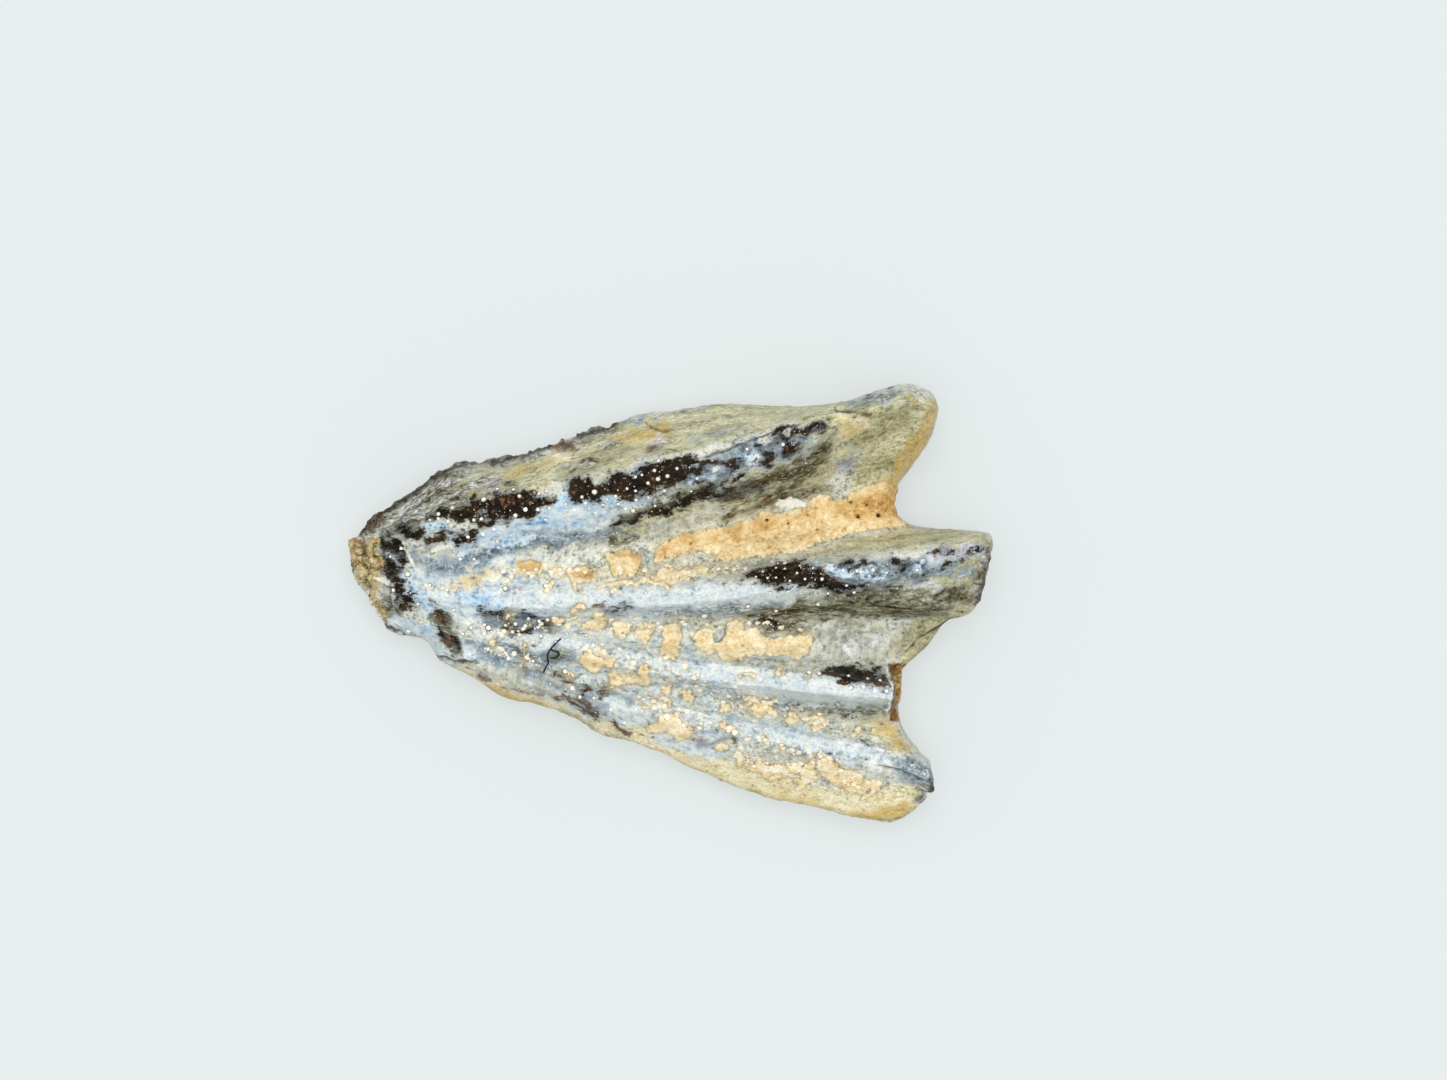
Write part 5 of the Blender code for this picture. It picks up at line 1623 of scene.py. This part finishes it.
def build_beads(surface):
    """The mineral beads, each sunk a little into the crown, many in a flat dark ring of painted shade."""
    draw = random.Random(BEAD_SEED)
    ball = unit_bead()
    beads = bmesh.new()
    beads.verts.layers.float.new("tone")
    for x, y, half_width in WHITE_BEADS + scattered_beads(draw):
        place = over_pixel(surface, x, y)
        own_tone = drawn_tone(draw, BEAD_TONES)
        shade_ringed = draw.random() < SHADE_RINGED_SHARE
        if place[0] is None:
            continue
        radius = half_width * BEAD_SHRINK * MM_PER_PIXEL
        add_ball(beads, ball, place, radius, BEAD_FORM, BEAD_WOBBLE, own_tone)
        if shade_ringed:
            add_ball(beads, ball, place, radius, SHADE_RING_FORM, BEAD_WOBBLE, SHADE_RING_TONE)
    bpy.data.meshes.remove(ball)
    finished("mineral_beads", beads, bead_finish())


HAIR = [
    (561, 638.5), (556, 643), (551.5, 648), (548, 653), (547.5, 658), (548.5, 662), (546, 667),
    (543.5, 672.5),
]
HAIR_LOOP = [(550.5, 649.5), (554.5, 651), (557.5, 652), (559, 654.5), (556, 657.5), (550.5, 658)]
HAIR_RADIUS = 0.018
HAIR_LIFT = 0.018
HAIR_POINTS = 24


def build_hair(surface):
    """A dark thread lying on the crown: a thin tube along its charted line."""
    line = bpy.data.curves.new("dark_hair", "CURVE")
    line.dimensions = "3D"
    line.bevel_depth = HAIR_RADIUS
    line.bevel_resolution = 1
    line.use_fill_caps = True
    for chain in (HAIR, HAIR_LOOP):
        spline = line.splines.new("POLY")
        spline.points.add(HAIR_POINTS - 1)
        for point, pixel in zip(spline.points, smooth_curve(range(len(chain)), chain, HAIR_POINTS)[1]):
            place = over_pixel(surface, *pixel)[0]
            point.co = (place.x, place.y, place.z + HAIR_LIFT, 1.0)
    curve = bpy.data.objects.new("dark_hair", line)
    mesh = bpy.data.meshes.new_from_object(curve)
    hair = bmesh.new()
    hair.from_mesh(mesh)
    bmesh.ops.recalc_face_normals(hair, faces=hair.faces)
    bpy.data.objects.remove(curve)
    bpy.data.meshes.remove(mesh)
    finish = Finish("dark hair", 0.5, 0.2)
    speck = finish.noise(finish.place, 20.0, 1.0)
    colour = finish.mix(finish.clamped(speck + 0.3), srgb(8, 8, 12), srgb(38, 38, 42))
    finish.feed(finish.shader.inputs["Base Color"], colour)
    finish.feed(finish.shader.inputs["Roughness"], finish.clamped(0.5 + speck * 0.1))
    finish.bump(speck * 0.001)
    finished("dark_hair", hair, finish.material)


def crumb_finish():
    """Pale cream to buff matrix, dull and gritty, each crumb with its own tone."""
    finish = Finish("matrix crumb", 0.7, 0.2)
    tone = finish.attribute("tone")
    speck = finish.noise(finish.place, 16.0, 2.0)
    colour = finish.mix(finish.clamped(tone), srgb(246, 240, 222), srgb(238, 220, 180))
    colour = finish.mix(finish.clamped(speck * 0.9 - 0.1), colour, srgb(186, 160, 112))
    finish.feed(finish.shader.inputs["Base Color"], colour)
    finish.feed(finish.shader.inputs["Roughness"], finish.clamped(0.7 + speck * 0.1))
    finish.bump(speck * 0.006)
    return finish.material


def build_crumbs(surface):
    """Crumbs of matrix that cling between the plates."""
    draw = random.Random(CRUMB_SEED)
    ball = unit_bead()
    crumbs = bmesh.new()
    crumbs.verts.layers.float.new("tone")
    for x, y, half_width in strewn(draw, CRUMBLE, CRUMB_COUNT, CRUMB_SIZES):
        place = over_pixel(surface, x, y)
        own_tone = drawn_tone(draw, CRUMB_TONES)
        if place[0] is not None:
            add_ball(crumbs, ball, place, half_width * MM_PER_PIXEL, CRUMB_FORM, CRUMB_WOBBLE, own_tone)
    bpy.data.meshes.remove(ball)
    finished("matrix_crumbs", crumbs, crumb_finish())


FLOOR_SIZE = 0.6
FLOOR_COLOUR = (140, 144, 144)
# The floor glows a little: painted light that weakens the plate's shadow on it
FLOOR_GLOW_COLOUR = (232, 239, 239)
FLOOR_GLOW = 0.58
SKY_STRENGTH = 0.74
# The lamps: name, strength, softness in degrees, and the way each shines
SUNS = (
    ("overhead", 1.3, 50.0, (0.0, 0.0, -1.0)),
    ("key", 0.36, 30.0, (0.1, -0.6, -1.0)),
    ("glint", 0.08, 4.0, (-0.3, -0.4, -1.0)),
)


def build_floor():
    """The plain pale floor that the base rests on."""
    floor = bmesh.new()
    bmesh.ops.create_grid(floor, x_segments=1, y_segments=1, size=FLOOR_SIZE / 2.0)
    mesh = bpy.data.meshes.new("floor")
    floor.to_mesh(mesh)
    floor.free()
    finish = Finish("pale floor", 0.9, 0.1)
    finish.feed(finish.shader.inputs["Base Color"], srgb(*FLOOR_COLOUR))
    finish.feed(finish.shader.inputs["Emission Color"], srgb(*FLOOR_GLOW_COLOUR))
    finish.feed(finish.shader.inputs["Emission Strength"], FLOOR_GLOW)
    mesh.materials.append(finish.material)
    piece = bpy.data.objects.new("floor", mesh)
    bpy.context.scene.collection.objects.link(piece)


def add_sun(name, strength, softness, towards):
    """A soft light that shines along a direction."""
    light = bpy.data.lights.new(name, "SUN")
    light.energy = strength
    light.angle = math.radians(softness)
    lamp = bpy.data.objects.new(name, light)
    lamp.rotation_mode = "QUATERNION"
    lamp.rotation_quaternion = Vector(towards).to_track_quat("-Z", "Y")
    bpy.context.scene.collection.objects.link(lamp)


def light_scene():
    """Even light from all round, with a soft key from beyond the mesial side."""
    world = bpy.data.worlds.new("studio")
    world.use_nodes = True
    sky = world.node_tree.nodes["Background"]
    sky.inputs["Color"].default_value = (1.0, 1.0, 1.0, 1.0)
    sky.inputs["Strength"].default_value = SKY_STRENGTH
    bpy.context.scene.world = world
    for sun in SUNS:
        add_sun(*sun)


def place_camera():
    """Straight above the photograph's middle, framing what the photograph does."""
    view = bpy.data.cameras.new("camera")
    view.lens = LENS
    view.sensor_width = SENSOR
    view.clip_start = 0.001
    view.clip_end = 10.0
    camera = bpy.data.objects.new("camera", view)
    camera.location = Vector((*VIEW_MIDDLE, SHARP_HEIGHT + CAMERA_RISE)) * MM
    bpy.context.scene.collection.objects.link(camera)
    bpy.context.scene.camera = camera


def main():
    bpy.context.scene.view_settings.view_transform = "Standard"
    surface = build_plate()
    build_beads(surface)
    build_crumbs(surface)
    build_hair(surface)
    build_floor()
    light_scene()
    place_camera()


main()
